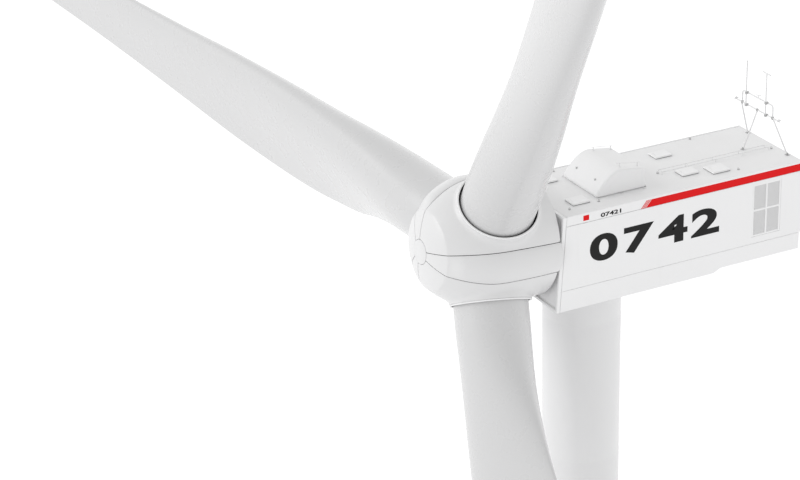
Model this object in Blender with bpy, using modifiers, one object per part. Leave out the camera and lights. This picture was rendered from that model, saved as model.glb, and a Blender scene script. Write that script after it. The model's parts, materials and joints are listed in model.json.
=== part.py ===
"""Horizontal-axis wind turbine head, 1:10 scale model: tower top section, nacelle, hub and blades.

Frame: metres, +Z up, origin at the centre of the tower section's lower flange face.
The rotor faces -Y, the tail of the nacelle points to +Y, and +X is the nacelle's right side.
"""
import math

import bmesh
import bpy
from mathutils import Matrix, Vector

# ---- driving dimensions (metres, at 1:10) ----
GAP = 0.0003                 # between pieces that touch
SEAM = 0.0010                # open joint between housing panels

TOWER_R = 0.159
TOWER_WALL = 0.008
TOWER_TOP = 2.030
FLANGE_T = 0.016
FLANGE_INNER_R = 0.125
YAW_RING_INSET = 0.004
YAW_RING_T = 0.020
YAW_CLEARANCE = 0.006

NACELLE_Z = 2.000            # lowest edge of the side skirts
NACELLE_W = 0.450
NACELLE_H = 0.400
FRONT_Y = -0.2534            # front rim at the skirt's lower edge
FRONT_LEAN = 0.0302          # how far the rim leans back over the full height
REAR_Y = 0.900
PANEL_T = 0.008
SKIRT_TOP = 0.088            # heights above NACELLE_Z
SIDE_TOP = 0.359
STEP_Y = (0.482, 0.514)      # where the skirt's lower edge steps up
STEP_Z = 0.0158
FLOOR_Z = 0.024
FRAME_W = 0.012              # front rim
FRAME_D = 0.016
ROOF_DROP = 0.002            # roof face below the side bands' top edge
END_INSET = 0.006            # skirt and floor stop short of the rear
FLOOR_CLEARANCE = 0.004      # behind the front rim
TOWER_CLEARANCE = 0.013      # floor opening round the tower
SHAFT_CLEARANCE_R = 0.113    # opening in the front wall

LOUVRE_Y = (0.6580, 0.7960)
LOUVRE_Z = (0.1170, 0.3460)
LOUVRE_BAR = 0.0080
LOUVRE_DEPTH = 0.0040
LOUVRE_SETBACK = 0.0010
CUT_MARGIN = 0.010           # how far a cutter passes the faces it opens

BEDPLATE_R = 0.153
BEDPLATE_T = 0.050
BEAM_X = 0.100               # bedplate beam, half width
BEAM_Y = (-0.150, 0.280)
BEAM_Z = (0.020, 0.090)      # above the bedplate's seat
HOUSING_R = 0.095
HOUSING_L = (-0.420, -0.236)
HOUSING_BORE_R = 0.056

FAIRING_X = 0.127
FAIRING_Y = (-0.014, 0.208)
FAIRING_H = 0.100            # where the curved front meets the top, which falls away to the rear
FAIRING_REAR_H = 0.084
FAIRING_FLAT_Y = 0.098
FAIRING_NOSE_H = 0.014
FAIRING_REAR_LEAN = 0.006
FAIRING_EDGE = 0.009
FAIRING_RAIL_X = 0.098
FAIRING_RAIL_Y = (0.108, 0.190)
FAIRING_RAIL_H = 0.017

HATCH_T = 0.009
HATCH_EDGE = 0.002
HATCHES = (                  # centre x, centre y, size x, size y
    (0.1112, -0.0914, 0.066, 0.078),
    (-0.1310, -0.0914, 0.066, 0.078),
    (-0.1185, 0.4393, 0.059, 0.078),
    (0.0864, 0.4327, 0.060, 0.078),
    (0.1209, 0.5525, 0.075, 0.082),
)

RAIL_X = (0.026, 0.050)
RAIL_Y = (0.338, 0.852)
RAIL_H = 0.010
RAIL_R = 0.0016
RAIL_POST = 0.0026

MAST_FOOT_X = 0.138
MAST_FOOT_Y = 0.882
MAST_FRONT_Y = 0.762
MAST_BAR_Y = 0.826
MAST_BAR_Z = 0.158           # above the roof edge
MAST_BAR_X = 0.155
MAST_UPPER_Z = 0.210
MAST_UPPER_X = 0.105
MAST_BEND = 0.012
MAST_R = 0.0036
MAST_FOOT_R = 0.008
MAST_FOOT_T = 0.003
ROD_R = 0.0032
ROD_LEFT = (-0.070, 0.350)   # x, height of the tip above the roof edge
ROD_RIGHT = (0.066, 0.338)
ROD_CROSS_X = (0.040, 0.092)
ROD_CROSS_R = 0.0028

TILT = math.radians(4.0)
CONE = math.radians(6.0)
HUB = Vector((0.0, -0.4427, NACELLE_Z + 0.2667))
BLADE_ANGLES = (-32.0, 208.0, 88.0)   # from straight up, towards -X
NOSE_L = 0.2874
DISC_R = 0.0492
REAR_L = -0.1960
COLLAR_IN_R = 0.1545
COLLAR_OUT_R = 0.1620
COLLAR_TOP = 0.2440          # distance of the lip from the hub centre
COLLAR_SEAT = 0.0065         # depth of the collar's seat in the shell
ROOT_START = 0.1950

NOSE_SPHERE_R = 0.360
NOSE_CENTRE_L = -0.070
NOSE_EDGE_L = 0.2530         # where the front dome meets the turned side
BELLY_L = 0.040
BELLY_R = 0.2640
REAR_R = 0.2417
NECK_BLEND = 0.030
DISC_T = 0.006
HOLLOW_R = 0.200
HOLLOW_L = 0.168
BACK_PLATE_R = (0.110, 0.199)
BACK_PLATE_T = 0.006

CORE_R = 0.135
STUB_R = 0.120
SHAFT_R = 0.050
SHAFT_L = (-0.400, -0.050)
PITCH_CLEARANCE = 0.005      # between a hub stub and the blade root

# distance from the hub centre, chord, share of the chord ahead of the pitch axis, thickness
# share, twist in degrees, bend towards the wind
BLADE_STATIONS = (
    (0.195, 0.294, 0.500, 1.00, 0.0, 0.000),
    (0.330, 0.294, 0.500, 1.00, 0.0, 0.000),
    (0.480, 0.310, 0.482, 0.92, 6.0, 0.000),
    (0.640, 0.352, 0.443, 0.75, 11.0, 0.001),
    (0.820, 0.404, 0.403, 0.58, 13.5, 0.002),
    (1.020, 0.458, 0.362, 0.44, 14.5, 0.003),
    (1.330, 0.478, 0.347, 0.35, 12.5, 0.005),
    (1.800, 0.440, 0.348, 0.285, 8.5, 0.010),
    (2.400, 0.352, 0.341, 0.26, 5.0, 0.019),
    (3.100, 0.277, 0.345, 0.24, 3.0, 0.033),
    (3.900, 0.217, 0.340, 0.22, 1.5, 0.054),
    (4.700, 0.166, 0.335, 0.20, 0.5, 0.079),
    (5.500, 0.119, 0.330, 0.18, -0.3, 0.110),
    (6.100, 0.082, 0.330, 0.18, -0.8, 0.136),
    (6.400, 0.048, 0.360, 0.18, -1.0, 0.150),
    (6.500, 0.018, 0.450, 0.20, -1.0, 0.155),
)
SECTION_POINTS = 20

ROTOR_AXIS = Vector((0.0, -math.cos(TILT), math.sin(TILT)))
ROTOR_UP = Vector((0.0, math.sin(TILT), math.cos(TILT)))
TOP_Z = NACELLE_Z + NACELLE_H
HALF_W = NACELLE_W / 2
ROOF_Z = TOP_Z - ROOF_DROP

WHITE = (0.86, 0.87, 0.87)
GREY = (0.55, 0.56, 0.57)
STEEL = (0.42, 0.43, 0.45)
MAST_WHITE = (0.75, 0.76, 0.77)


# ---- helpers ----
def clear_scene():
    for obj in list(bpy.data.objects):
        bpy.data.objects.remove(obj, do_unlink=True)


def new_collection(name):
    collection = bpy.data.collections.new(name)
    bpy.context.scene.collection.children.link(collection)
    return collection


def paint(obj, color, roughness=0.35, metallic=0.0):
    material = bpy.data.materials.new(obj.name + "_paint")
    material.use_nodes = True
    shader = material.node_tree.nodes["Principled BSDF"]
    shader.inputs["Base Color"].default_value = (*color, 1.0)
    shader.inputs["Roughness"].default_value = roughness
    shader.inputs["Metallic"].default_value = metallic
    obj.data.materials.clear()
    obj.data.materials.append(material)


def mesh_object(name, bm, collection):
    bmesh.ops.recalc_face_normals(bm, faces=bm.faces)
    mesh = bpy.data.meshes.new(name)
    bm.to_mesh(mesh)
    bm.free()
    obj = bpy.data.objects.new(name, mesh)
    collection.objects.link(obj)
    return obj


def box(name, low, high, collection, bevel=0.0):
    size = Vector(high) - Vector(low)
    middle = (Vector(high) + Vector(low)) / 2
    bm = bmesh.new()
    matrix = Matrix.Translation(middle) @ Matrix.Diagonal((*size, 1.0))
    bmesh.ops.create_cube(bm, size=1.0, matrix=matrix)
    obj = mesh_object(name, bm, collection)
    if bevel:
        round_edges(obj, bevel)
    return obj


def round_edges(obj, width, segments=2, angle=40.0):
    bevel = obj.modifiers.new("Rounded", "BEVEL")
    bevel.width = width
    bevel.segments = segments
    bevel.limit_method = "ANGLE"
    bevel.angle_limit = math.radians(angle)
    return bevel


def frame_matrix(origin, z_axis, x_hint):
    z = z_axis.normalized()
    x = (x_hint - z * x_hint.dot(z)).normalized()
    y = z.cross(x)
    matrix = Matrix((x, y, z)).transposed().to_4x4()
    matrix.translation = origin
    return matrix


def cylinder(name, origin, axis, radius, start, end, collection, sides=48, end_radius=None):
    bm = bmesh.new()
    place = frame_matrix(origin, axis, Vector((1, 0, 0.01)))
    shift = Matrix.Translation((0, 0, (start + end) / 2))
    top = radius if end_radius is None else end_radius
    bmesh.ops.create_cone(bm, cap_ends=True, segments=sides, radius1=radius, radius2=top,
                          depth=end - start, matrix=place @ shift)
    return mesh_object(name, bm, collection)


def turned(name, profile, origin, axis, collection, sides=48):
    """A closed profile of (radius, height) points, run down its outer side, turned about axis."""
    bm = bmesh.new()
    verts = [bm.verts.new((r, 0.0, h)) for r, h in profile]
    for a, b in zip(verts, verts[1:] + verts[:1]):
        bm.edges.new((a, b))
    mesh = bpy.data.meshes.new(name)
    bm.to_mesh(mesh)
    bm.free()
    obj = bpy.data.objects.new(name, mesh)
    collection.objects.link(obj)
    obj.matrix_world = frame_matrix(origin, axis, Vector((1, 0, 0)))
    screw = obj.modifiers.new("Turned", "SCREW")
    screw.steps = sides
    screw.render_steps = sides
    screw.use_merge_vertices = True
    screw.merge_threshold = 0.00001
    return obj


def ring(name, r_in, r_out, low, high, origin, axis, collection, sides=48):
    profile = [(r_out, high), (r_out, low), (r_in, low), (r_in, high)]
    return turned(name, profile, origin, axis, collection, sides)


def from_curve(curve_obj, collection):
    """The curve's evaluated surface as a welded mesh object; the curve is removed."""
    bpy.context.view_layer.update()
    graph = bpy.context.evaluated_depsgraph_get()
    mesh = bpy.data.meshes.new_from_object(curve_obj.evaluated_get(graph))
    bm = bmesh.new()
    bm.from_mesh(mesh)
    bmesh.ops.remove_doubles(bm, verts=bm.verts, dist=0.00001)
    bmesh.ops.recalc_face_normals(bm, faces=bm.faces)
    bm.to_mesh(mesh)
    bm.free()
    name = curve_obj.name
    matrix = curve_obj.matrix_world.copy()
    bpy.data.objects.remove(curve_obj, do_unlink=True)
    obj = bpy.data.objects.new(name, mesh)
    obj.name = name
    obj.matrix_world = matrix
    collection.objects.link(obj)
    return obj


def plate(name, outline, origin, normal, x_hint, thickness, collection):
    """A flat outline of (u, v) points in the plane at origin, thickened both ways."""
    curve = bpy.data.curves.new(name, "CURVE")
    curve.dimensions = "2D"
    curve.fill_mode = "BOTH"
    curve.extrude = thickness / 2
    spline = curve.splines.new("POLY")
    spline.points.add(len(outline) - 1)
    for point, (u, v) in zip(spline.points, outline):
        point.co = (u, v, 0.0, 1.0)
    spline.use_cyclic_u = True
    obj = bpy.data.objects.new(name, curve)
    obj.matrix_world = frame_matrix(origin, normal, x_hint)
    collection.objects.link(obj)
    return from_curve(obj, collection)


def tube(name, points, radius, collection, resolution=1, closed=False):
    curve = bpy.data.curves.new(name, "CURVE")
    curve.dimensions = "3D"
    curve.bevel_depth = radius
    curve.bevel_resolution = resolution
    curve.use_fill_caps = True
    spline = curve.splines.new("POLY")
    spline.points.add(len(points) - 1)
    for point, co in zip(spline.points, points):
        point.co = (*co, 1.0)
    spline.use_cyclic_u = closed
    obj = bpy.data.objects.new(name, curve)
    collection.objects.link(obj)
    return from_curve(obj, collection)


def boolean(obj, other, operation, solver="EXACT"):
    modifier = obj.modifiers.new(operation.title(), "BOOLEAN")
    modifier.operation = operation
    modifier.solver = solver
    modifier.object = other
    other.hide_render = True
    other.display_type = "WIRE"


def cut(obj, cutter, solver="EXACT"):
    boolean(obj, cutter, "DIFFERENCE", solver)


def join(obj, tool):
    boolean(obj, tool, "UNION")


def parent_to(objects, empty):
    for obj in objects:
        obj.parent = empty
        obj.matrix_parent_inverse = empty.matrix_world.inverted()


def joint_empty(name, matrix, parent, collection):
    empty = bpy.data.objects.new(name, None)
    empty.matrix_world = matrix
    collection.objects.link(empty)
    bpy.context.view_layer.update()
    if parent:
        parent_to([empty], parent)
    return empty


# ---- tower ----
def build_tower(parts):
    """Tower section between a blank lower flange and an open upper one, with the yaw ring."""
    up = Vector((0, 0, 1))
    origin = Vector((0, 0, 0))
    upper_z = TOWER_TOP - FLANGE_T
    lower = cylinder("tower_lower_flange", origin, up, TOWER_R, 0.0, FLANGE_T, parts)
    shell = ring("tower_shell", TOWER_R - TOWER_WALL, TOWER_R, FLANGE_T + GAP, upper_z - GAP,
                 origin, up, parts)
    upper = ring("tower_upper_flange", FLANGE_INNER_R, TOWER_R, upper_z, TOWER_TOP, origin, up, parts)
    yaw = ring("yaw_ring", FLANGE_INNER_R, TOWER_R - YAW_RING_INSET, TOWER_TOP + GAP,
               TOWER_TOP + YAW_RING_T, origin, up, parts)
    paint(shell, WHITE)
    for obj in (lower, upper):
        paint(obj, GREY, 0.45, 0.6)
    paint(yaw, STEEL, 0.4, 0.9)


# ---- nacelle ----
def front_y(height):
    """Y of the leaning front rim at a height above NACELLE_Z."""
    return FRONT_Y + FRONT_LEAN * height / NACELLE_H


def side_plate(name, side, low, high, outline_extra, parts, rear=REAR_Y):
    """One side panel between two heights: outline in (y, z), outer face at the nacelle's side."""
    front = FRAME_D + SEAM
    outline = [(front_y(low) + front, low)]
    outline += outline_extra
    outline += [(rear, outline_extra[-1][1] if outline_extra else low), (rear, high),
                (front_y(high) + front, high)]
    x = side * (HALF_W - PANEL_T / 2)
    placed = [(y, z + NACELLE_Z) for y, z in outline]
    return yz_plate(name, placed, x, PANEL_T, parts)


def yz_plate(name, outline, x, thickness, parts):
    """A plate whose outline is given in (y, z), centred on the plane at x."""
    return plate(name, outline, Vector((x, 0, 0)), Vector((1, 0, 0)), Vector((0, 1, 0)),
                 thickness, parts)


def build_sides(parts, cutters):
    """Each side: skirt with a stepped lower edge, main panel with its louvre, upper band."""
    made = []
    for side, label in ((1, "right"), (-1, "left")):
        step = [(STEP_Y[0], 0.0), (STEP_Y[1], STEP_Z)]
        skirt = side_plate("side_skirt_" + label, side, 0.0, SKIRT_TOP - SEAM, step, parts,
                           rear=REAR_Y - END_INSET)
        panel = side_plate("side_panel_" + label, side, SKIRT_TOP, SIDE_TOP - SEAM, [], parts)
        band = side_plate("side_band_" + label, side, SIDE_TOP, NACELLE_H, [], parts)
        for obj in (skirt, panel, band):
            paint(obj, WHITE)
            made.append(obj)
        made.append(build_louvre(label, side, panel, parts, cutters))
    return made


def build_louvre(label, side, panel, parts, cutters):
    """The four-pane air grille: a panel set back in the side wall, with its cross bars."""
    y0, y1 = LOUVRE_Y
    z0, z1 = (NACELLE_Z + z for z in LOUVRE_Z)
    x_in = side * (HALF_W - PANEL_T - CUT_MARGIN)
    x_out = side * (HALF_W + CUT_MARGIN)
    opening = box("louvre_opening_" + label, (min(x_in, x_out), y0, z0), (max(x_in, x_out), y1, z1),
                  cutters)
    cut(panel, opening)
    x_face = side * (HALF_W - LOUVRE_SETBACK)
    x_back = side * (HALF_W - PANEL_T)
    grille = box("louvre_" + label, (min(x_back, x_face), y0 + GAP, z0 + GAP),
                 (max(x_back, x_face), y1 - GAP, z1 - GAP), parts)
    pane_w = (y1 - y0 - 3 * LOUVRE_BAR) / 2
    pane_h = (z1 - z0 - 3 * LOUVRE_BAR) / 2
    pocket_x = side * (HALF_W - LOUVRE_DEPTH)
    for row in range(2):
        for column in range(2):
            py = y0 + LOUVRE_BAR + column * (pane_w + LOUVRE_BAR)
            pz = z0 + LOUVRE_BAR + row * (pane_h + LOUVRE_BAR)
            pocket = box(f"louvre_pocket_{label}_{row}_{column}",
                         (min(pocket_x, x_out), py, pz),
                         (max(pocket_x, x_out), py + pane_w, pz + pane_h), cutters)
            cut(grille, pocket)
    paint(grille, GREY, 0.5)
    return grille


def build_ends(parts, cutters):
    """Front rim with its set-back wall, rear wall, floor and roof."""
    inner = HALF_W - FRAME_W
    lean = math.atan2(FRONT_LEAN, NACELLE_H)
    axis = Vector((0, -math.cos(lean), math.sin(lean)))
    slope = NACELLE_H / math.cos(lean)
    base = Vector((0, FRONT_Y, NACELLE_Z))
    centre = base - axis * (FRAME_D / 2)
    rim = plate("front_frame", [(-HALF_W, 0), (HALF_W, 0), (HALF_W, slope), (-HALF_W, slope)],
                centre, axis, Vector((1, 0, 0)), FRAME_D, parts)
    opening = [(-inner, FRAME_W), (inner, FRAME_W), (inner, slope - FRAME_W),
               (-inner, slope - FRAME_W)]
    hole = plate("front_frame_opening", opening, centre, axis, Vector((1, 0, 0)), FRAME_D * 2, cutters)
    cut(rim, hole)
    wall_in = inner - GAP
    wall_outline = [(-wall_in, FRAME_W + GAP), (wall_in, FRAME_W + GAP),
                    (wall_in, slope - FRAME_W - GAP), (-wall_in, slope - FRAME_W - GAP)]
    wall_centre = base - axis * (FRAME_D - PANEL_T / 2)
    wall = plate("front_wall", wall_outline, wall_centre, axis, Vector((1, 0, 0)), PANEL_T, parts)
    bore = cylinder("front_wall_bore", HUB, ROTOR_AXIS, SHAFT_CLEARANCE_R, -0.30, 0.0, cutters)
    cut(wall, bore)
    rear = box("rear_wall", (-HALF_W + PANEL_T + GAP, REAR_Y - PANEL_T, NACELLE_Z + SKIRT_TOP),
               (HALF_W - PANEL_T - GAP, REAR_Y, ROOF_Z - PANEL_T - GAP), parts)
    floor_front = front_y(FLOOR_Z) + FRAME_D + SEAM + FLOOR_CLEARANCE
    floor = box("floor_panel", (-HALF_W + PANEL_T + GAP, floor_front, NACELLE_Z + FLOOR_Z),
                (HALF_W - PANEL_T - GAP, REAR_Y - END_INSET, NACELLE_Z + FLOOR_Z + PANEL_T), parts)
    tower_hole = cylinder("floor_hole", Vector((0, 0, NACELLE_Z)), Vector((0, 0, 1)),
                          TOWER_R + TOWER_CLEARANCE, 0.0, FLOOR_Z * 2, cutters, sides=64)
    cut(floor, tower_hole)
    roof_front = front_y(NACELLE_H) + FRAME_D + SEAM
    roof = box("roof_panel", (-HALF_W + PANEL_T + SEAM, roof_front, ROOF_Z - PANEL_T),
               (HALF_W - PANEL_T - SEAM, REAR_Y, ROOF_Z), parts)
    for obj in (rim, wall, rear, floor, roof):
        paint(obj, WHITE)
    return [rim, wall, rear, floor, roof]


def build_inside(parts, cutters):
    """Bedplate above the yaw ring, and the main shaft's bearing housing on it."""
    seat_z = TOWER_TOP + YAW_RING_T + YAW_CLEARANCE
    frame = cylinder("main_frame", Vector((0, 0, seat_z)), Vector((0, 0, 1)), BEDPLATE_R, 0.0,
                     BEDPLATE_T, parts)
    beam = box("main_frame_beam", (-BEAM_X, BEAM_Y[0], seat_z + BEAM_Z[0]),
               (BEAM_X, BEAM_Y[1], seat_z + BEAM_Z[1]), cutters)
    join(frame, beam)
    housing = cylinder("bearing_housing", HUB, ROTOR_AXIS, HOUSING_R, *HOUSING_L, parts)
    shaft_bore = cylinder("bearing_bore", HUB, ROTOR_AXIS, HOUSING_BORE_R, HOUSING_L[0] - CUT_MARGIN,
                          HOUSING_L[1] + CUT_MARGIN, cutters)
    cut(housing, shaft_bore)
    cradle = cylinder("frame_cradle", HUB, ROTOR_AXIS, HOUSING_R + GAP, HOUSING_L[0] - HOUSING_R,
                      HOUSING_L[1] + HOUSING_R, cutters)
    cut(frame, cradle)
    for obj in (frame, housing):
        paint(obj, STEEL, 0.5, 0.5)
    return [frame, housing]


def build_fairing(parts):
    """Roof fairing: a full curved front, a top that falls to the rear and an upright back."""
    foot, back = FAIRING_Y
    fall = (FAIRING_H - FAIRING_REAR_H) / (back - FAIRING_FLAT_Y)
    rise = FAIRING_H - FAIRING_NOSE_H - GAP
    steps = 8
    outline = [(foot, GAP)]
    for i in range(steps + 1):
        t = i / steps
        height = FAIRING_NOSE_H + GAP + rise * math.sin(t * math.pi / 2) ** 0.85
        outline.append((foot + (FAIRING_FLAT_Y - foot) * t, height))
    outline += [(back, FAIRING_REAR_H), (back + FAIRING_REAR_LEAN, GAP)]
    outline.reverse()
    placed = [(y, z + ROOF_Z) for y, z in outline]
    fairing = yz_plate("roof_fairing", placed, 0.0, 2 * FAIRING_X, parts)
    round_edges(fairing, FAIRING_EDGE, 3, 35.0)
    paint(fairing, WHITE)
    made = [fairing]
    front, rear = FAIRING_RAIL_Y
    seats = [ROOF_Z + FAIRING_H + 2 * GAP - fall * (y - FAIRING_FLAT_Y) for y in (front, rear)]
    for side, label in ((1, "right"), (-1, "left")):
        x = side * FAIRING_RAIL_X
        points = [(x, front, seats[0]), (x, front, seats[0] + FAIRING_RAIL_H),
                  (x, rear, seats[1] + FAIRING_RAIL_H), (x, rear, seats[1])]
        rail = tube("fairing_rail_" + label, points, RAIL_R, parts)
        paint(rail, STEEL, 0.4, 0.8)
        made.append(rail)
    return made


def build_hatches(parts):
    """Raised hatch covers on the roof."""
    made = []
    for index, (x, y, w, l) in enumerate(HATCHES, 1):
        low = (x - w / 2, y - l / 2, ROOF_Z + GAP)
        high = (x + w / 2, y + l / 2, ROOF_Z + HATCH_T)
        hatch = box(f"roof_hatch_{index}", low, high, parts, bevel=HATCH_EDGE)
        paint(hatch, WHITE)
        made.append(hatch)
    return made


def build_roof_rail(parts, cutters):
    """Twin roof rail: one closed loop of tube on a post at each corner."""
    z = ROOF_Z + RAIL_H
    corners = [(x, y, z) for x, y in ((RAIL_X[0], RAIL_Y[0]), (RAIL_X[0], RAIL_Y[1]),
                                      (RAIL_X[1], RAIL_Y[1]), (RAIL_X[1], RAIL_Y[0]))]
    rail = tube("roof_rail", corners, RAIL_R, parts, closed=True)
    for index, (x, y, _) in enumerate(corners):
        low = (x - RAIL_POST, y - RAIL_POST, ROOF_Z + GAP)
        post = box(f"roof_rail_post_{index}", low, (x + RAIL_POST, y + RAIL_POST, z), cutters)
        join(rail, post)
    paint(rail, STEEL, 0.4, 0.8)
    return [rail]


def mast_foot(name, x, y, top, parts, cutters):
    """A round foot plate on the roof with a leg up to a point under the lower cross bar."""
    foot_z = ROOF_Z + GAP
    foot = cylinder(name, Vector((x, y, foot_z)), Vector((0, 0, 1)), MAST_FOOT_R, 0.0, MAST_FOOT_T,
                    parts, sides=16)
    leg = tube(name + "_tube", [(x, y, foot_z + MAST_FOOT_T / 3), top], MAST_R, cutters)
    join(foot, leg)
    return foot


def build_mast(parts, cutters):
    """Sensor mast: a leaning tripod with a lower and an upper cross bar and two rods."""
    bar_z = TOP_Z + MAST_BAR_Z
    leg_top = bar_z - 1.5 * MAST_R       # clear of the bar, with the leg's end at a slant
    leg_x = MAST_UPPER_X + 2 * MAST_R
    made = []
    for side, label in ((1, "right"), (-1, "left")):
        made.append(mast_foot("mast_leg_" + label, side * MAST_FOOT_X, MAST_FOOT_Y,
                              (side * leg_x, MAST_BAR_Y, leg_top), parts, cutters))
    made.append(mast_foot("mast_brace", 0.0, MAST_FRONT_Y, (0, MAST_BAR_Y, leg_top), parts, cutters))
    made.append(tube("mast_lower_bar", [(-MAST_BAR_X, MAST_BAR_Y, bar_z),
                                        (MAST_BAR_X, MAST_BAR_Y, bar_z)], MAST_R, parts))
    low = bar_z + MAST_R + GAP
    high = TOP_Z + MAST_UPPER_Z
    half_hoop = [(MAST_UPPER_X - MAST_BEND, MAST_BAR_Y, high),
                 (MAST_UPPER_X, MAST_BAR_Y, high - MAST_BEND), (MAST_UPPER_X, MAST_BAR_Y, low)]
    hoop = [(-x, y, z) for x, y, z in reversed(half_hoop)] + half_hoop
    made.append(tube("mast_upper_bar", hoop, MAST_R, parts))
    rod_y = MAST_BAR_Y - 2 * MAST_R - GAP
    rods = []
    for name, (x, tip) in (("mast_rod_left", ROD_LEFT), ("mast_rod_right", ROD_RIGHT)):
        rods.append(tube(name, [(x, rod_y, bar_z - 2 * ROD_R), (x, rod_y, TOP_Z + tip)], ROD_R, parts))
    cross_z = TOP_Z + ROD_RIGHT[1]
    cross = tube("mast_rod_cross", [(x, rod_y, cross_z) for x in ROD_CROSS_X], ROD_CROSS_R, cutters)
    join(rods[1], cross)
    made += rods
    for obj in made:
        paint(obj, MAST_WHITE, 0.35, 0.3)
    return made


# ---- hub and spinner ----
def nose_radius(axial):
    """Radius of the turned part of the spinner at a distance ahead of the hub centre."""
    if axial >= NOSE_EDGE_L:
        return math.sqrt(max(NOSE_SPHERE_R ** 2 - (axial - NOSE_CENTRE_L) ** 2, 0.0))
    if axial >= BELLY_L:
        t = (axial - BELLY_L) / (NOSE_EDGE_L - BELLY_L)
        edge = nose_radius(NOSE_EDGE_L)
        return edge + (BELLY_R - edge) * (1.0 - t ** 2.6) ** 0.75
    t = (BELLY_L - axial) / (BELLY_L - REAR_L)
    return BELLY_R - (BELLY_R - REAR_R) * t ** 2


def rotor_direction(angle):
    """Unit vector square to the rotor axis at an angle from straight up, towards -X."""
    return ROTOR_UP * math.cos(angle) - Vector((1, 0, 0)) * math.sin(angle)


def blade_axis(degrees):
    return (rotor_direction(math.radians(degrees)) * math.cos(CONE) + ROTOR_AXIS * math.sin(CONE))


def spinner_distance(point, blades):
    """Below zero inside the spinner: the turned body blended with a neck round each blade."""
    axial = point.dot(ROTOR_AXIS)
    radial = (point - ROTOR_AXIS * axial).length
    body = max(radial - nose_radius(min(axial, NOSE_CENTRE_L + NOSE_SPHERE_R)),
               REAR_L - NECK_BLEND - axial)
    if axial > NOSE_EDGE_L:
        body = max(body, (point - ROTOR_AXIS * NOSE_CENTRE_L).length - NOSE_SPHERE_R)
    value = body
    for axis in blades:
        along = point.dot(axis)
        if along <= 0:
            continue
        across = (point - axis * along).length
        neck = max(across - COLLAR_OUT_R, along - COLLAR_TOP + COLLAR_SEAT)
        blend = max(NECK_BLEND - abs(value - neck), 0.0) / NECK_BLEND
        value = min(value, neck) - blend * blend * NECK_BLEND / 4
    return value


def build_spinner(parts, cutters):
    """Spinner shell round the hub, its nose disc, a collar for each blade and the back plate."""
    blades = [blade_axis(a) for a in BLADE_ANGLES]
    bm = bmesh.new()
    bmesh.ops.create_icosphere(bm, subdivisions=4, radius=1.0)
    turn = frame_matrix(Vector((0, 0, 0)), ROTOR_AXIS, rotor_direction(math.radians(BLADE_ANGLES[0])))
    for vert in bm.verts:
        direction = (turn @ vert.co).normalized()
        low, high = 0.05, 0.50
        for _ in range(24):
            middle = (low + high) / 2
            if spinner_distance(direction * middle, blades) < 0:
                low = middle
            else:
                high = middle
        vert.co = HUB + direction * low
    bmesh.ops.triangulate(bm, faces=bm.faces)
    shell = mesh_object("spinner_shell", bm, parts)
    rear = cylinder("spinner_rear_cut", HUB, ROTOR_AXIS, 2 * REAR_R, 2 * REAR_L, REAR_L, cutters)
    cut(shell, rear, "MANIFOLD")
    hollow = cylinder("spinner_hollow", HUB, ROTOR_AXIS, HOLLOW_R, 1.25 * REAR_L, HOLLOW_L, cutters)
    cut(shell, hollow, "MANIFOLD")
    seat = cylinder("spinner_disc_seat", HUB, ROTOR_AXIS, DISC_R + GAP, NOSE_L - DISC_T,
                    NOSE_L + DISC_R, cutters, sides=32)
    cut(shell, seat, "MANIFOLD")
    for index, axis in enumerate(blades, 1):
        bore = cylinder(f"spinner_bore_{index}", HUB, axis, COLLAR_IN_R + GAP * 2, -CUT_MARGIN,
                        1.5 * COLLAR_TOP, cutters)
        cut(shell, bore, "MANIFOLD")
        groove = ring(f"spinner_seat_{index}", COLLAR_IN_R - CUT_MARGIN, COLLAR_OUT_R + NECK_BLEND,
                      COLLAR_TOP - COLLAR_SEAT, 1.2 * COLLAR_TOP, HUB, axis, cutters)
        cut(shell, groove, "MANIFOLD")
    paint(shell, WHITE)
    disc_back = NOSE_L - DISC_T + GAP
    disc = turned("nose_disc", [(0.0, NOSE_L + 0.002), (DISC_R * 0.7, NOSE_L + 0.001),
                                (DISC_R, NOSE_L - 0.001), (DISC_R, disc_back), (0.0, disc_back)],
                  HUB, ROTOR_AXIS, parts, 32)
    paint(disc, WHITE)
    made = [shell, disc]
    for index, axis in enumerate(blades, 1):
        collar = ring(f"blade_collar_{index}", COLLAR_IN_R, COLLAR_OUT_R,
                      COLLAR_TOP - COLLAR_SEAT + GAP, COLLAR_TOP, HUB, axis, parts)
        paint(collar, WHITE, 0.3)
        made.append(collar)
    back = ring("spinner_back_plate", *BACK_PLATE_R, REAR_L, REAR_L + BACK_PLATE_T, HUB, ROTOR_AXIS,
                parts)
    paint(back, WHITE)
    made.append(back)
    return made


def build_hub(parts, cutters):
    """Cast hub: a ball with a stub towards each blade root, and the main shaft."""
    bm = bmesh.new()
    bmesh.ops.create_uvsphere(bm, u_segments=32, v_segments=16, radius=CORE_R,
                              matrix=Matrix.Translation(HUB))
    core = mesh_object("hub_core", bm, parts)
    for index, angle in enumerate(BLADE_ANGLES, 1):
        stub = cylinder(f"hub_stub_{index}", HUB, blade_axis(angle), STUB_R, CUT_MARGIN,
                        ROOT_START - PITCH_CLEARANCE, cutters, sides=32)
        join(core, stub)
    shaft = cylinder("hub_shaft", HUB, ROTOR_AXIS, SHAFT_R, *SHAFT_L, cutters, sides=32)
    join(core, shaft)
    paint(core, STEEL, 0.5, 0.5)
    return core


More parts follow.
